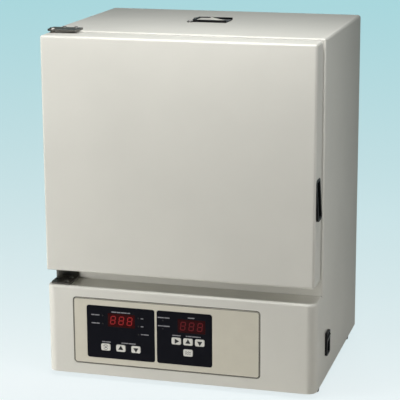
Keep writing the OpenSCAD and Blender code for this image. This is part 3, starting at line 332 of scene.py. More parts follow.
def make_finish(slot, name):
    """The material of one slot of the record, or of one print or lamp of the scene."""
    paint, control = paint_set(), control_set()
    black = tuple(paint.plastic)
    evenly = (1, 1, 1)
    film = {"grain": 0.0004, "gloss": 0.4, "tones": (0.98, 1.01)}
    ink = {"grain": 0.002, "rough": (0.4, 0.5), "depth": 0.000004}
    looks = {
        "cream_paint": (painted, paint.paint, {}),
        "stainless_sheet": (brushed, chamber_set().steel, {}),
        "stainless_wire": (brushed, (0.62, 0.63, 0.64), {"along": evenly, "rough": (0.16, 0.26)}),
        "zinc_sheet": (spangled, (0.46, 0.47, 0.49), {}),
        "bright_steel": (brushed, (0.27, 0.26, 0.24), {"along": (8, 1, 1), "rough": (0.42, 0.56)}),
        "screw_steel": (brushed, (0.36, 0.355, 0.34), {"along": (1, 1, 4), "rough": (0.32, 0.46)}),
        "black_plastic": (moulded, black, {"gloss": 0.25}),
        "rocker_plastic": (moulded, shade(black, 1.3), {"rough": (0.3, 0.4), "depth": 0.00001, "gloss": 0.3}),
        "foot_rubber": (moulded, (0.014,) * 3, {"grain": 0.0012, "rough": (0.7, 0.9), "depth": 0.00006}),
        "overlay_film": (moulded, control.film, {"rough": (0.42, 0.5), "depth": 0.000006, **film}),
        "key_plastic": (moulded, control.key, {"rough": (0.36, 0.46), "depth": 0.00001, **film}),
        "window_film": (
            moulded, control.window, {"grain": 0.02, "rough": (0.3, 0.36), "depth": 0.00001, "gloss": 0.12}
        ),
        "lamp_lens": (
            moulded, (0.035,) * 3, {"grain": 0.003, "rough": (0.3, 0.4), "depth": 0.00001, "gloss": 0.2}
        ),
        "bright_display": (lit, shade(control.hot_digit, 0.16), {"glow": 0.6}),
        "dim_display": (lit, shade(control.dim_digit, 0.3), {"glow": 0.6}),
        "bright_segments": (lit, control.hot_digit, {"glow": 1.0}),
        "dim_segments": (lit, control.dim_digit, {"glow": 1.0}),
        "white_print": (moulded, control.print_white, ink),
        "black_print": (moulded, (0.012, 0.012, 0.014), ink),
        "grey_print": (moulded, (0.05, 0.05, 0.055), ink),
        "mineral_wool": (fibrous, (0.62, 0.56, 0.33), {}),
        "silicone_seal": (moulded, (0.32, 0.055, 0.03), {"grain": 0.001, "rough": (0.5, 0.65)}),
        "silicone_lead": (
            moulded, (0.28, 0.02, 0.015), {"grain": 0.001, "rough": (0.5, 0.6), "depth": 0.00002}
        ),
        "circuit_board": (
            moulded, (0.012, 0.09, 0.03), {"grain": 0.004, "rough": (0.3, 0.4), "depth": 0.00002}
        ),
        "heater_sheath": (brushed, (0.13, 0.115, 0.10), {"along": (1, 6, 1), "rough": (0.4, 0.6)}),
        "bronze_bush": (brushed, (0.42, 0.28, 0.11), {"along": evenly, "rough": (0.3, 0.45)}),
        "sink_aluminium": (brushed, (0.52, 0.53, 0.54), {"along": (1, 20, 1), "rough": (0.35, 0.5)}),
        "transformer_core": (
            brushed, (0.10, 0.105, 0.12), {"along": (1, 1, 20), "rough": (0.45, 0.6), "metal": 0.7}
        ),
        "ferrite": (moulded, (0.02, 0.02, 0.021), {"grain": 0.0008, "rough": (0.5, 0.7)}),
        "relay_case": (moulded, (0.60, 0.59, 0.54), {}),
        "terminal_plastic": (moulded, (0.66, 0.65, 0.60), {}),
    }
    maker, rgb, options = looks[slot]
    return maker(name, tuple(rgb), **options).material


def finish(slot):
    """The material of a slot, made once."""
    name = slot + "_finish"
    return bpy.data.materials.get(name) or make_finish(slot, name)


# Mesh tools


def piece(name, mesh, body, slot, *nodes, look=None):
    """A finished mesh as a piece that rides on a body and wears the finish of look, or else of slot; it hides
    the CAD nodes it stands in for.
    """
    obj = helper(name, mesh)
    mesh.materials.clear()
    mesh.materials.append(finish(look or slot))
    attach(obj, body)
    if nodes:
        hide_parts(*nodes)
    return obj


def applied(obj):
    """The object's mesh with its modifiers worked in."""
    bpy.context.view_layer.update()
    ready = obj.evaluated_get(bpy.context.evaluated_depsgraph_get())
    mesh = bpy.data.meshes.new_from_object(ready)
    obj.modifiers.clear()
    return mesh


def discard(obj):
    """Removes an object from the file."""
    bpy.data.objects.remove(obj, do_unlink=True)


def helper(name, data):
    """An object with this data, in the scene."""
    obj = bpy.data.objects.new(name, data)
    bpy.context.scene.collection.objects.link(obj)
    return obj


def smoothed(obj, edge):
    """The object's mesh with soft edges of this radius and level shading of its flats."""
    mesh = obj.data
    mesh.shade_smooth()
    mesh.set_sharp_from_angle(angle=math.radians(SHARP_ANGLE))
    if edge:
        mod = obj.modifiers.new("Edge", "BEVEL")
        mod.width = edge
        mod.segments = 2
        mod.limit_method = "ANGLE"
        mod.angle_limit = math.radians(SHARP_ANGLE)
    level = obj.modifiers.new("Level", "WEIGHTED_NORMAL")
    level.keep_sharp = True
    return applied(obj)


def merged(node):
    """A bmesh of a CAD node with its loose triangles joined."""
    bm = bmesh.new()
    bm.from_mesh(frame["nodes"][node].data)
    bmesh.ops.remove_doubles(bm, verts=bm.verts, dist=SAME_POINT)
    return bm


def flat_copy(node):
    """A copy of a CAD node's mesh with its flats cleaned."""
    bm = merged(node)
    flat = math.radians(FLAT_ANGLE)
    bmesh.ops.dissolve_limit(bm, angle_limit=flat, verts=bm.verts, edges=bm.edges, delimit={"NORMAL"})
    mesh = bpy.data.meshes.new(node)
    bm.to_mesh(mesh)
    bm.free()
    return mesh


def spans(node):
    """The lowest and highest corner of each loose part of a CAD node, in the mesh's own order."""
    bm = merged(node)
    found = []
    for start in bm.verts:
        if start.tag:
            continue
        start.tag = True
        group, edge = [], [start]
        while edge:
            vert = edge.pop()
            group.append(vert.co)
            for other in (e.other_vert(vert) for e in vert.link_edges):
                if not other.tag:
                    other.tag = True
                    edge.append(other)
        axes = list(zip(*group))
        found.append(([min(values) for values in axes], [max(values) for values in axes]))
    bm.free()
    return found


def dress(*nodes, edge=0.0):
    """Smooth, softened pieces in place of CAD nodes."""
    for node in nodes:
        blank = helper(node, flat_copy(node))
        mesh = smoothed(blank, edge or EDGE_OF.get(node, 0))
        discard(blank)
        piece(node + "_finished", mesh, BODY_OF[node], SLOT_OF[node], node)


def carry(*nodes):
    """CAD nodes whose shape is right take their slot's finish."""
    for node in nodes:
        mesh = frame["nodes"][node].data
        mesh.materials.clear()
        mesh.materials.append(finish(SLOT_OF[node]))


def hoop(bm, one, two):
    """Quads between two rings of as many points."""
    for i in range(len(one)):
        j = (i + 1) % len(one)
        bm.faces.new((one[i], one[j], two[j], two[i]))


def ring_at(bm, outline, y):
    """Points of a drawing of X and Z, at one Y."""
    return [bm.verts.new((x, y, z)) for x, z in outline]


def prism(bm, outline, y0, y1):
    """A drawing of X and Z made solid between two planes of Y."""
    front, back = ring_at(bm, outline, y0), ring_at(bm, outline, y1)
    bm.faces.new(front)
    bm.faces.new(back[::-1])
    hoop(bm, back, front)


def finished_mesh(name, bm, sharp=None):
    """The mesh of a bmesh, its faces turned outwards, smooth up to a sharp angle."""
    bmesh.ops.recalc_face_normals(bm, faces=bm.faces)
    mesh = bpy.data.meshes.new(name)
    bm.to_mesh(mesh)
    bm.free()
    if sharp:
        mesh.shade_smooth()
        mesh.set_sharp_from_angle(angle=math.radians(sharp))
    return mesh


def plate_mesh(name, outlines, y0, y1):
    """One mesh of thin plates that face the front, from drawings of X and Z."""
    bm = bmesh.new()
    for outline in outlines:
        prism(bm, outline, y0, y1)
    return finished_mesh(name, bm)


def line_mesh(name, outer, inner, y0, y1):
    """A printed line that closes on itself, between two drawings of X and Z."""
    bm = bmesh.new()
    rings = [ring_at(bm, outline, y) for outline, y in ((outer, y0), (outer, y1), (inner, y1), (inner, y0))]
    for i in range(4):
        hoop(bm, rings[i], rings[i - 1])
    return finished_mesh(name, bm)


def turned_mesh(name, profile, sides, upright, sharp=None):
    """A round shape from its radii and heights, along Z if it is upright and else along Y."""
    bm = bmesh.new()
    rings = []
    for r, height in profile:
        circle = arc(0, 0, r, 0, 360 * (sides - 1) / sides, sides - 1)
        rings.append([bm.verts.new((a, b, height) if upright else (a, height, b)) for a, b in circle])
    for one, two in zip(rings, rings[1:]):
        hoop(bm, one, two)
    bm.faces.new(rings[0])
    bm.faces.new(rings[-1])
    return finished_mesh(name, bm, sharp)


def arc(cx, cz, r, start, end, steps):
    """Points of an arc, in degrees from +X towards +Z."""
    angles = [math.radians(start + (end - start) * i / steps) for i in range(steps + 1)]
    return [(cx + r * math.cos(a), cz + r * math.sin(a)) for a in angles]


def rounded_box(cx, cz, w, h, r, steps=4):
    """Outline of a rectangle with round corners."""
    points = []
    for sx, sz, start in ((1, 1, 0), (-1, 1, 90), (-1, -1, 180), (1, -1, 270)):
        points += arc(cx + sx * (w / 2 - r), cz + sz * (h / 2 - r), r, start, start + 90, steps)
    return points


# Geometry Nodes


SPOTS_TREE = "Shape on spots"


def new_tree(name, **inputs):
    """A geometry tree with named inputs, and its input node."""
    tree = bpy.data.node_groups.new(name, "GeometryNodeTree")
    for way in ("INPUT", "OUTPUT"):
        tree.interface.new_socket("Geometry", in_out=way, socket_type="NodeSocketGeometry")
    for label, kind in inputs.items():
        tree.interface.new_socket(label, in_out="INPUT", socket_type="NodeSocket" + kind)
    return tree, tree.nodes.new("NodeGroupInput")


def end_tree(tree, source, way_in):
    """Ends a tree with Realize Instances and Set Material."""
    real = tree.nodes.new("GeometryNodeRealizeInstances")
    cover = tree.nodes.new("GeometryNodeSetMaterial")
    out = tree.nodes.new("NodeGroupOutput")
    tree.links.new(source, real.inputs[0])
    tree.links.new(real.outputs[0], cover.inputs["Geometry"])
    tree.links.new(way_in.outputs["Finish"], cover.inputs["Material"])
    tree.links.new(cover.outputs[0], out.inputs[0])


def grown(name, mesh, tree, values):
    """What a geometry tree makes of a mesh with these values of its inputs."""
    holder = helper(name, mesh)
    mod = holder.modifiers.new("Tree", "NODES")
    mod.node_group = tree
    ids = {s.name: s.identifier for s in tree.interface.items_tree if s.in_out == "INPUT"}
    for label, value in values.items():
        mod[ids[label]] = value
    done = applied(holder)
    discard(holder)
    return done


def spots_tree():
    """Puts a shape on each point of the mesh, turned by Turn and stretched by the point's spread."""
    tree, way_in = new_tree(SPOTS_TREE, Shape="Object", Turn="Vector", Finish="Material")
    add, link = tree.nodes.new, tree.links.new
    points = add("GeometryNodeMeshToPoints")
    shape = add("GeometryNodeObjectInfo")
    place = add("GeometryNodeInstanceOnPoints")
    spread = add("GeometryNodeInputNamedAttribute")
    spread.data_type = "FLOAT_VECTOR"
    spread.inputs["Name"].default_value = "spread"
    link(way_in.outputs["Geometry"], points.inputs["Mesh"])
    link(way_in.outputs["Shape"], shape.inputs["Object"])
    link(points.outputs[0], place.inputs["Points"])
    link(shape.outputs["Geometry"], place.inputs["Instance"])
    link(way_in.outputs["Turn"], place.inputs["Rotation"])
    link(spread.outputs["Attribute"], place.inputs["Scale"])
    end_tree(tree, place.outputs[0], way_in)
    return tree


def on_spots(name, shape_mesh, spots, slot, turn=(0, 0, 0), spreads=None):
    """A plain mesh of one shape repeated on spots, in one material."""
    mesh = bpy.data.meshes.new(name)
    mesh.from_pydata([tuple(s) for s in spots], [], [])
    spread = mesh.attributes.new("spread", "FLOAT_VECTOR", "POINT")
    for i in range(len(spots)):
        spread.data[i].vector = spreads[i] if spreads else (1, 1, 1)
    shape = helper(name + "_shape", shape_mesh)
    shape.hide_render = True
    tree = bpy.data.node_groups.get(SPOTS_TREE) or spots_tree()
    done = grown(name + "_spots", mesh, tree, {"Shape": shape, "Turn": turn, "Finish": finish(slot)})
    discard(shape)
    return done


def grille_tree():
    """A wire grille: wires laid across a frame of round rod with bent corners."""
    rod_sides, wire_sides, bend_steps = 14, 10, 6
    tree, way_in = new_tree(
        "Wire grille",
        Width="Float",
        Depth="Float",
        Rod="Float",
        Wire="Float",
        Wires="Int",
        Lift="Float",
        Corner="Float",
        Finish="Material",
    )
    add, link = tree.nodes.new, tree.links.new
    work = partial(math_node, tree)

    def tube(curve, diameter, sides):
        ring = add("GeometryNodeCurvePrimitiveCircle")
        ring.inputs["Resolution"].default_value = sides
        link(work("MULTIPLY", diameter, 0.5), ring.inputs["Radius"])
        skin = add("GeometryNodeCurveToMesh")
        skin.inputs["Fill Caps"].default_value = True
        link(curve, skin.inputs["Curve"])
        link(ring.outputs["Curve"], skin.inputs["Profile Curve"])
        return skin.outputs["Mesh"]

    def vector(**parts):
        node = add("ShaderNodeCombineXYZ")
        for axis, value in parts.items():
            link(value, node.inputs[axis])
        return node.outputs[0]

    width, depth = way_in.outputs["Width"], way_in.outputs["Depth"]
    outline = add("GeometryNodeCurvePrimitiveQuadrilateral")
    link(width, outline.inputs["Width"])
    link(depth, outline.inputs["Height"])
    bent = add("GeometryNodeFilletCurve")
    bent.mode = "POLY"
    bent.inputs["Count"].default_value = bend_steps
    link(outline.outputs[0], bent.inputs["Curve"])
    link(way_in.outputs["Corner"], bent.inputs["Radius"])
    frame_rod = tube(bent.outputs[0], way_in.outputs["Rod"], rod_sides)
    half_width = work("MULTIPLY", width, 0.5)
    across = add("GeometryNodeCurvePrimitiveLine")
    link(vector(X=work("MULTIPLY", width, -0.5)), across.inputs["Start"])
    link(vector(X=half_width), across.inputs["End"])
    middle_rod = tube(across.outputs[0], way_in.outputs["Rod"], rod_sides)
    along = add("GeometryNodeCurvePrimitiveLine")
    link(vector(Y=work("MULTIPLY", depth, -0.5)), along.inputs["Start"])
    link(vector(Y=work("MULTIPLY", depth, 0.5)), along.inputs["End"])
    wire = tube(along.outputs[0], way_in.outputs["Wire"], wire_sides)
    gap = work("DIVIDE", width, work("ADD", way_in.outputs["Wires"], 1))
    row = add("GeometryNodeMeshLine")
    link(way_in.outputs["Wires"], row.inputs["Count"])
    first = work("SUBTRACT", gap, half_width)
    link(vector(X=first, Z=way_in.outputs["Lift"]), row.inputs["Start Location"])
    link(vector(X=gap), row.inputs["Offset"])
    place = add("GeometryNodeInstanceOnPoints")
    link(row.outputs[0], place.inputs["Points"])
    link(wire, place.inputs["Instance"])
    join = add("GeometryNodeJoinGeometry")
    for part in (frame_rod, middle_rod, place.outputs[0]):
        link(part, join.inputs[0])
    soft = add("GeometryNodeSetShadeSmooth")
    link(join.outputs[0], soft.inputs["Geometry"])
    end_tree(tree, soft.outputs[0], way_in)
    return tree


# Pieces


class PieceOperator:
    """What every operator of this add-on shares."""

    bl_options = {"REGISTER", "UNDO"}

    def execute(self, context):
        self.build()
        return {"FINISHED"}


class STERILIZER_OT_casing(PieceOperator, bpy.types.Operator):
    """Painted sheets of the casing, its plates and its feet"""

    bl_idname = "sterilizer.casing"
    bl_label = "Casing"

    def build(self):
        dress("casing_shell", "base_front_panel", edge=paint_set().edge)
        dress("front_frame", "back_panel", "feet")
        carry("bottom_plate", "deck_plate")


class STERILIZER_OT_door(PieceOperator, bpy.types.Operator):
    """The door's skin, inner panel, seal and strikes"""

    bl_idname = "sterilizer.door"
    bl_label = "Door"

    def build(self):
        dress("door_skin", edge=paint_set().edge)
        dress("door_inner_panel", "strike_plates", "catch_magnets", "hinge_bushes")
        carry("door_insulation")
        self.build_seal()

    def build_seal(self):
        """A lip seal with a round crown, swept round the chamber's mouth."""
        width, outer_r, foot, corner_steps = 0.010, 0.017, 0.35, 10
        low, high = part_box("door_gasket")
        half = width / 2
        thick = high.y - low.y
        cx, cz = (low.x + high.x) / 2, (low.z + high.z) / 2
        w, h = high.x - low.x - width, high.z - low.z - width
        path = rounded_box(cx, cz, w, h, outer_r - half, corner_steps)
        low_turn, step = 15, 15
        turns = [math.radians(a) for a in range(180 - low_turn, low_turn - 1, -step)]
        crown = [(half * math.cos(a), foot + (1 - foot) * math.sin(a)) for a in turns]
        section = [(-half, 0.0), (-half, foot), *crown, (half, foot), (half, 0.0)]
        bm = bmesh.new()
        rings = []
        for i, (x, z) in enumerate(path):
            before, after = path[i - 1], path[(i + 1) % len(path)]
            way = Vector((after[0] - before[0], after[1] - before[1])).normalized()
            out = Vector((way.y, -way.x))
            spots = [(x + out.x * s, low.y + t * thick, z + out.y * s) for s, t in section]
            rings.append([bm.verts.new(spot) for spot in spots])
        for one, two in zip(rings, rings[1:] + rings[:1]):
            hoop(bm, one, two)
        mesh = finished_mesh("door_seal", bm, sharp=50)
        piece("door_seal", mesh, "door", "silicone_seal", "door_gasket")


class STERILIZER_OT_handle(PieceOperator, bpy.types.Operator):
    """The black wedge grip with its finger pocket"""

    bl_idname = "sterilizer.handle"
    bl_label = "Handle"

    def build(self):
        dress("handle_grip")


class STERILIZER_OT_hinges(PieceOperator, bpy.types.Operator):
    """Hinge brackets and pins"""

    bl_idname = "sterilizer.hinges"
    bl_label = "Hinges"

    def build(self):
        dress("hinge_bracket_top", "hinge_bracket_bottom", "hinge_pins")


def legend(x, z, w, bars):
    """A printed legend as a row of plain bars of uneven length: spots and spreads."""
    setting = control_set()
    room = w - setting.legend_gap * (len(bars) - 1)
    spots, spreads = [], []
    at = x - w / 2
    for bar in bars:
        wide = room * bar / sum(bars)
        spots.append((at + wide / 2, z))
        spreads.append((wide, setting.legend_h))
        at += wide + setting.legend_gap
    return spots, spreads


class STERILIZER_OT_control_plate(PieceOperator, bpy.types.Operator):
    """The control plate, its dark windows and their plain printed bars"""

    bl_idname = "sterilizer.control_plate"
    bl_label = "Control plate"

    # Middle, height over the bench, width and bars of each legend, in millimetres
    legends = (
        (-97, 118.4, 32, (5, 4, 6, 3)),
        (-140.5, 111.5, 14, (3, 4)),
        (-140.5, 97.5, 14, (4, 3)),
        (-61, 111, 4.5, (1,)),
        (-61, 97.5, 4.5, (1,)),
        (-56.5, 84.2, 13.5, (2, 5)),
        (-122.5, 66.6, 15, (3, 4)),
        (-84.6, 66.8, 24, (1, 4, 4, 1)),
        (-24.5, 116, 20, (5, 4)),
        (-24.5, 102, 20, (4, 5)),
        (21.5, 119, 11, (1,)),
        (-3, 87.7, 14, (1,)),
        (25, 87.9, 25, (1, 3, 5, 1)),
    )

    def build(self):
        dress("overlay_plate", "display_windows")
        carry("control_carrier")
        thick = control_set().print_t
        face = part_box("display_windows")[0].y
        spots, spreads = [], []
        for x, z, w, bars in self.legends:
            at, size = legend(x * MM, z * MM, w * MM, bars)
            spots += [(px, face - thick / 2, pz) for px, pz in at]
            spreads += [(sx, thick, sz) for sx, sz in size]
        corner, corner_steps = 0.12, 2
        bar = plate_mesh("bar", [rounded_box(0, 0, 1, 1, corner, corner_steps)], -0.5, 0.5)
        mesh = on_spots("legends", bar, spots, "white_print", spreads=spreads)
        piece("control_legends", mesh, "cabinet", "overlay_film", look="white_print")
        self.border()

    def border(self):
        """The dark line printed just inside the plate's edge."""
        setting = control_set()
        low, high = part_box("overlay_plate")
        cx, cz, corner_steps = (low.x + high.x) / 2, (low.z + high.z) / 2, 6
        outlines = []
        for inset in (setting.border_in, setting.border_in + setting.border_w):
            w, h = high.x - low.x - 2 * inset, high.z - low.z - 2 * inset
            outlines.append(rounded_box(cx, cz, w, h, setting.corner_r - inset, corner_steps))
        mesh = line_mesh("border", *outlines, low.y - setting.print_t, low.y)
        piece("control_border", mesh, "cabinet", "overlay_film", look="black_print")


class STERILIZER_OT_displays(PieceOperator, bpy.types.Operator):
    """Digit displays and small lamps"""

    bl_idname = "sterilizer.displays"
    bl_label = "Displays"

    # Height of a lamp's dome
    dome_h = 0.0004

    def build(self):
        self.digits("temperature", "temperature_display", "bright_segments")
        self.digits("timer", "timer_display", "dim_segments")
        self.lamps()

    def digits(self, name, node, look):
        """Three digits of seven lit bars each, on the face of a display."""
        dress(node)
        setting = control_set()
        low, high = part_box(node)
        tall, pitch, thick = setting.digit_h, setting.digit_pitch, setting.print_t
        mesh = on_spots(
            name,
            self.digit_mesh(tall, thick),
            [((low.x + high.x) / 2 + i * pitch, low.y, (low.z + high.z) / 2) for i in (-1, 0, 1)],
            look,
        )
        piece(name + "_digits", mesh, "cabinet", SLOT_OF[node], look=look)

    def digit_mesh(self, tall, thick):
        """One digit eight with leaning bars; its parts are shares of its height."""
        wide = tall * 0.5
        bar = tall * 0.12
        gap = tall * 0.012
        lean = math.tan(math.radians(8))

        def bar_at(cx, cz, long, upright):
            s = long / 2 - gap
            b = bar / 2
            ends = [(-s, 0), (b - s, b), (s - b, b), (s, 0), (s - b, -b), (b - s, -b)]
            if upright:
                ends = [(z, x) for x, z in ends][::-1]
            return [(cx + x + (cz + z) * lean, cz + z) for x, z in ends]

        bars = []
        for row in (-1, 0, 1):
            bars.append(bar_at(0, row * (tall - bar) / 2, wide, False))
        for sx in (-1, 1):
            for sz in (-1, 1):
                bars.append(bar_at(sx * wide / 2, sz * (tall - bar) / 4, (tall - bar) / 2, True))
        return plate_mesh("digit", bars, -thick, 0)

    def lamps(self):
        """A low dome on each lamp of the windows."""
        parts = spans("indicator_lamps")
        low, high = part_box("indicator_lamps")
        spots = [((one[0] + two[0]) / 2, low.y, (one[2] + two[2]) / 2) for one, two in parts]
        r = (parts[0][1][0] - parts[0][0][0]) / 2
        profile = [(r, high.y - low.y)]
        for a in map(math.radians, (0, 25, 50, 72)):
            profile.append((r * math.cos(a), -self.dome_h * math.sin(a)))
        mesh = turned_mesh("lamp", profile, sides=16, upright=False, sharp=45)
        done = on_spots("lamps", mesh, spots, "lamp_lens")
        piece("lamp_lenses", done, "cabinet", "lamp_lens", "indicator_lamps")


class STERILIZER_OT_keys(PieceOperator, bpy.types.Operator):
    """Seven keys with their plain symbols"""

    bl_idname = "sterilizer.keys"
    bl_label = "Keys"

    def build(self):
        symbols = {
            "run_key": self.ring,
            "heat_up_key": lambda: [self.arrow(90)],
            "heat_down_key": lambda: [self.arrow(270)],
            "select_key": lambda: [self.arrow(0)],
            "time_up_key": lambda: [self.arrow(90)],
            "time_down_key": lambda: [self.arrow(270)],
            "program_key": self.waves,
        }
        setting = control_set()
        for node, draw in symbols.items():
            dress(node, edge=setting.key_edge)
            low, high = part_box(node)
            cx, cz = (low.x + high.x) / 2, (low.z + high.z) / 2
            outlines = [[(cx + x * MM, cz + z * MM) for x, z in o] for o in draw()]
            mesh = plate_mesh(node + "_symbol", outlines, low.y - setting.print_t, low.y)
            ink = "grey_print" if node in ("run_key", "program_key") else "black_print"
            piece(node + "_symbol", mesh, node, "key_plastic", look=ink)

    def arrow(self, turn):
        """A plain triangle that points the way turn says."""
        corners = 3
        last = turn + 360 * (corners - 1) / corners
        return arc(0, 0, control_set().symbol_r / MM, turn, last, corners - 1)

    def ring(self):
        """A broken ring with a bar in it, in millimetres."""
        outer, inner, sweep, steps = 4.3, 3.6, 140, 12
        half_w, half_h = 1.9, 0.9
        parts = [
            arc(0, 0, outer, start, start + sweep, steps) + arc(0, 0, inner, start + sweep, start, steps)
            for start in (20, 200)
        ]
        return parts + [[(-half_w, -half_h), (half_w, -half_h), (half_w, half_h), (-half_w, half_h)]]

    def waves(self):
        """Two waved lines over each other, in millimetres."""
        rise, half_line, off_middle, turn, reach = 0.7, 0.4, 1.6, 0.8, 10
        parts = []
        for z in (-off_middle, off_middle):
            line = [(x / 2, z + rise * math.sin(x * turn)) for x in range(-reach, reach + 1)]
            over = [(x, y + half_line) for x, y in line]
            under = [(x, y - half_line) for x, y in line[::-1]]
            parts.append(over + under)
        return parts


class STERILIZER_OT_main_switch(PieceOperator, bpy.types.Operator):
    """The rocker switch on the right side"""

    bl_idname = "sterilizer.main_switch"
    bl_label = "Main switch"

    def build(self):
        dress("switch_bezel", "switch_rocker")


class STERILIZER_OT_shutter(PieceOperator, bpy.types.Operator):
    """The exhaust shutter on top"""

    bl_idname = "sterilizer.shutter"
    bl_label = "Exhaust shutter"

    def build(self):
        dress("vent_frame", "vent_slider")
        carry("exhaust_duct")


class STERILIZER_OT_chamber(PieceOperator, bpy.types.Operator):
    """The chamber's lining, racks, floor and heaters"""

    bl_idname = "sterilizer.chamber"
    bl_label = "Chamber"

    def build(self):
        dress("chamber_liner", "floor_plate", "shelf_rails", "heater_elements", "temperature_probe")
        carry("chamber_insulation", "heater_leads", "overheat_thermostat")


class STERILIZER_OT_shelves(PieceOperator, bpy.types.Operator):
    """Two wire shelves"""

    bl_idname = "sterilizer.shelves"
    bl_label = "Shelves"

    def build(self):
        setting = chamber_set()
        rod = setting.rod_d
        bend_r = rod * 1.6
        tree = grille_tree()
        for node in ("shelf_upper", "shelf_lower"):
            low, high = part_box(node)
            values = {
                "Width": high.x - low.x - rod,
                "Depth": high.y - low.y - rod,
                "Rod": rod,
                "Wire": setting.wire_d,
                "Wires": setting.wire_count,
                "Lift": high.z - low.z - rod / 2 - setting.wire_d / 2,
                "Corner": bend_r,
                "Finish": finish("stainless_wire"),
            }
            mesh = grown(node, bpy.data.meshes.new(node), tree, values)
            centre = Vector(((low.x + high.x) / 2, (low.y + high.y) / 2, low.z + rod / 2))
            mesh.transform(Matrix.Translation(centre))
            piece(node + "_grille", mesh, BODY_OF[node], "stainless_wire", node)


class STERILIZER_OT_fasteners(PieceOperator, bpy.types.Operator):
    """Cross-recessed screws of the back, the hinges, the shutter and the door"""

    bl_idname = "sterilizer.fasteners"
    bl_label = "Fasteners"

    # Sizes of a screw's head, shank and cross
    head_r = 0.0035
    head_h = 0.0024
    shank_r = 0.0019
    shank_h = 0.001
    cross = (0.0036, 0.0008, 0.0026)
    cross_turn = 0.4
    # Turn between two faces, in degrees, from which the head's edges stay sharp
    sharp = 35
    # Shares of the head's radius and height on the way up its dome
    dome = ((1, 0), (1, 0.3), (0.86, 0.72), (0.55, 0.97))

    def build(self):
        """Each screw of a node is found by the middle of its head."""
        for node, axis in (("back_screws", 1), ("bracket_screws", 2), ("door_screws", 1)):
            spots = self.heads(node, axis)
            turn = (-math.pi / 2, 0, 0) if axis == 1 else (0, 0, 0)
            mesh = on_spots(node, self.screw(), spots, "screw_steel", turn=turn)
            piece(node + "_turned", mesh, BODY_OF[node], "screw_steel", node)

    def heads(self, node, axis):
        """Middles of the undersides of a node's screw heads."""
        spots = []
        for low, high in spans(node):
            middle = [(one + two) / 2 for one, two in zip(low, high)]
            middle[axis] = high[axis] - self.head_h
            spots.append(middle)
        return spots

    def cutter(self, turn):
        """One bar of the cross, sunk to its middle in the head."""
        cut = bmesh.new()
        bmesh.ops.create_cube(cut, size=1)
        bmesh.ops.scale(cut, vec=self.cross, verts=cut.verts)
        bmesh.ops.rotate(cut, matrix=Matrix.Rotation(turn + self.cross_turn, 3, "Z"), verts=cut.verts)
        bmesh.ops.translate(cut, vec=(0, 0, self.head_h), verts=cut.verts)
        return helper("cross", finished_mesh("cross", cut))

    def screw(self):
        """A domed head with a cross recess, on a short shank."""
        profile = [(self.shank_r, -self.shank_h), (self.shank_r, 0.0)]
        profile += [(self.head_r * wide, self.head_h * high) for wide, high in self.dome]
        blank = helper("screw", turned_mesh("screw", profile, sides=24, upright=True))
        cutters = [self.cutter(turn) for turn in (0, math.pi / 2)]
        for cutter in cutters:
            mod = blank.modifiers.new("Recess", "BOOLEAN")
            mod.operation = "DIFFERENCE"
            mod.solver = "EXACT"
            mod.object = cutter
        done = applied(blank)
        for obj in (*cutters, blank):
            discard(obj)
        done.shade_smooth()
        done.set_sharp_from_angle(angle=math.radians(self.sharp))
        return done


class STERILIZER_OT_back(PieceOperator, bpy.types.Operator):
    """Cable gland and fuse holder on the back"""

    bl_idname = "sterilizer.back"
    bl_label = "Back fittings"

    def build(self):
        dress("cable_gland", "fuse_holder", "gland_nut")


class STERILIZER_OT_workings(PieceOperator, bpy.types.Operator):
    """What stands inside the control base"""

    bl_idname = "sterilizer.workings"
    bl_label = "Workings"

    def build(self):
        carry("control_board", "board_standoffs", "key_switches")
        carry("transformer", "solid_state_relay", "relay_heat_sink", "terminal_block")


# Stage


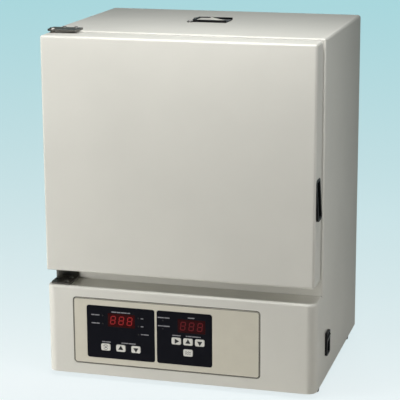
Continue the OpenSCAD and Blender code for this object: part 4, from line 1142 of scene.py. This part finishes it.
class STERILIZER_OT_stage(PieceOperator, bpy.types.Operator):
    """Pale floor that sweeps up behind, soft lamps and the camera"""

    bl_idname = "sterilizer.stage"
    bl_label = "Stage"

    # The eye's place in metres, its turns in degrees and the shift of its picture
    eye = (0.654, -2.360, 0.879)
    azimuth = 15.002
    elevation = 13.222
    roll = -0.139
    shift = (-0.05, -0.05)
    # Rise over reach of the looks at which the backdrop's colours begin and end
    slopes = (-0.41, -0.115)
    sky_colour = (1.0, 0.99, 0.97, 1)
    # Shares of the backdrop that glow by themselves and that gloss mirrors
    glow_share = 0.82
    mirror_share = 0.25
    # Size, place and aim of each lamp, how wide it spreads in degrees and whether gloss mirrors it
    plan = {
        "main_lamp": ((0.8, 0.6), (-1.5, -1.0, 0.32), (0, -0.15, 0.22), 180, False),
        "top_lamp": ((0.8, 0.15), (0.06, -0.37, 1.02), (0.05, 0, 0.55), 180, True),
        "side_lamp": ((0.3, 0.5), (0.68, -0.24, 0.42), (0.22, 0, 0.35), 180, True),
        "back_lamp": ((0.5, 0.4), (-0.35, 2.0, 0.42), (0, 0.19, 0.5), 50, False),
    }

    def build(self):
        self.floor()
        self.lamps()
        self.world()
        self.camera()
        bpy.context.scene.view_settings.view_transform = "Standard"

    def floor(self):
        """A floor that turns up into a backdrop."""
        half, front, bend, r, top = 9.0, -7.0, 4.0, 2.0, 7.0
        turns = [math.radians(a) for a in range(6, 91, 6)]
        line = [(y, 0.0) for y in (front, -1.0, 0.0, 1.0, bend)]
        line += [(bend + r * math.sin(a), r - r * math.cos(a)) for a in turns]
        line.append((bend + r, top))
        verts = [(x, y, z) for y, z in line for x in (-half, half)]
        faces = [(2 * i, 2 * i + 1, 2 * i + 3, 2 * i + 2) for i in range(len(line) - 1)]
        mesh = bpy.data.meshes.new("floor")
        mesh.from_pydata(verts, [], faces)
        mesh.shade_smooth()
        obj = helper("floor", mesh)
        mesh.materials.append(self.floor_finish())

    def floor_finish(self):
        """The eye sees a pale gradient that cools towards the back; the lamps meet a neutral floor."""
        setting = stage_set()
        f = Finish("backdrop").set(Roughness=0.9, Specular_IOR_Level=0.1)
        parts = f.add("ShaderNodeSeparateXYZ")
        f.link(f.place, parts.inputs[0])
        rise = f.math("SUBTRACT", parts.outputs["Z"], self.eye[2])
        reach = f.math("SUBTRACT", parts.outputs["Y"], self.eye[1])
        slope = f.spread(f.math("DIVIDE", rise, reach), 0, 1, *self.slopes)
        tone = f.blend(slope, tuple(setting.low), tuple(setting.high))
        ray = f.add("ShaderNodeLightPath").outputs
        mirrored = f.math("MULTIPLY", ray["Is Glossy Ray"], self.mirror_share)
        seen = f.math("MAXIMUM", ray["Is Camera Ray"], ray["Is Transmission Ray"])
        seen = f.math("MAXIMUM", seen, mirrored)
        f.tint(seen, tuple(setting.neutral), tone)
        glow = f.add("ShaderNodeEmission", Strength=1.0)
        f.link(tone, glow.inputs["Color"])
        mix = f.add("ShaderNodeMixShader")
        f.link(f.math("MULTIPLY", seen, self.glow_share), mix.inputs[0])
        f.link(f.skin.outputs[0], mix.inputs[1])
        f.link(glow.outputs[0], mix.inputs[2])
        out = next(n for n in f.nodes if n.type == "OUTPUT_MATERIAL")
        f.link(mix.outputs[0], out.inputs[0])
        return f.material

    def lamps(self):
        """A main lamp at the left, one close over the top, and weak ones for the right wall and the back."""
        for name, (size, place, aim, spread, mirrored) in self.plan.items():
            data = bpy.data.lights.new(name, "AREA")
            data.energy = getattr(stage_set(), name)
            data.shape = "RECTANGLE"
            data.size, data.size_y = size
            data.spread = math.radians(spread)
            obj = helper(name, data)
            obj.visible_camera = False
            obj.visible_glossy = mirrored
            way = Vector(aim) - Vector(place)
            turn = way.to_track_quat("-Z", "Y").to_matrix().to_4x4()
            obj.matrix_world = Matrix.Translation(place) @ turn

    def world(self):
        """Even soft light from all round, with the backdrop's colour for the eye past the backdrop's edge."""
        world = bpy.data.worlds.new("studio")
        bpy.context.scene.world = world
        world.use_nodes = True
        tree = world.node_tree
        back = tree.nodes["Background"]
        back.inputs["Color"].default_value = self.sky_colour
        back.inputs["Strength"].default_value = stage_set().sky
        seen = tree.nodes.new("ShaderNodeBackground")
        seen.inputs["Color"].default_value = (*stage_set().high, 1)
        ray = tree.nodes.new("ShaderNodeLightPath")
        mix = tree.nodes.new("ShaderNodeMixShader")
        tree.links.new(ray.outputs["Is Camera Ray"], mix.inputs[0])
        tree.links.new(back.outputs[0], mix.inputs[1])
        tree.links.new(seen.outputs[0], mix.inputs[2])
        tree.links.new(mix.outputs[0], tree.nodes["World Output"].inputs[0])

    def camera(self):
        data = bpy.data.cameras.new("camera")
        data.lens = stage_set().lens
        data.sensor_width = 36
        data.shift_x, data.shift_y = self.shift
        data.clip_end = 100
        obj = helper("camera", data)
        bpy.context.scene.camera = obj
        a, e, r = (math.radians(v) for v in (self.azimuth, self.elevation, self.roll))
        back = Vector((math.sin(a) * math.cos(e), -math.cos(a) * math.cos(e), math.sin(e)))
        right = (-back).cross(Vector((0, 0, 1))).normalized()
        up = right.cross(-back)
        x_axis = right * math.cos(r) + up * math.sin(r)
        y_axis = up * math.cos(r) - right * math.sin(r)
        turn = Matrix((x_axis, y_axis, back)).transposed().to_4x4()
        obj.matrix_world = Matrix.Translation(self.eye) @ turn


OPERATORS = (
    STERILIZER_OT_stage,
    STERILIZER_OT_casing,
    STERILIZER_OT_door,
    STERILIZER_OT_handle,
    STERILIZER_OT_hinges,
    STERILIZER_OT_control_plate,
    STERILIZER_OT_displays,
    STERILIZER_OT_keys,
    STERILIZER_OT_main_switch,
    STERILIZER_OT_shutter,
    STERILIZER_OT_chamber,
    STERILIZER_OT_shelves,
    STERILIZER_OT_fasteners,
    STERILIZER_OT_back,
    STERILIZER_OT_workings,
)


class STERILIZER_PT_pieces(bpy.types.Panel):
    """Lists the pieces and their settings"""

    bl_label = "Dry heat sterilizer"
    bl_idname = "STERILIZER_PT_pieces"
    bl_space_type = "VIEW_3D"
    bl_region_type = "UI"
    bl_category = "Sterilizer"

    def draw(self, context):
        for name, group in SETTINGS.items():
            box = self.layout.box()
            for key in group.__annotations__:
                box.prop(getattr(context.scene, name), key)
        for operator in OPERATORS:
            self.layout.operator(operator.bl_idname)


CLASSES = (*SETTINGS.values(), *OPERATORS, STERILIZER_PT_pieces)


def register():
    for cls in CLASSES:
        bpy.utils.register_class(cls)
    for name, group in SETTINGS.items():
        setattr(bpy.types.Scene, name, PointerProperty(type=group))


def unregister():
    for name in SETTINGS:
        delattr(bpy.types.Scene, name)
    for cls in reversed(CLASSES):
        bpy.utils.unregister_class(cls)


def main():
    """Builds every piece in order."""
    register()
    for operator in OPERATORS:
        group, name = operator.bl_idname.split(".")
        getattr(getattr(bpy.ops, group), name)()


if __name__ == "__main__":
    main()
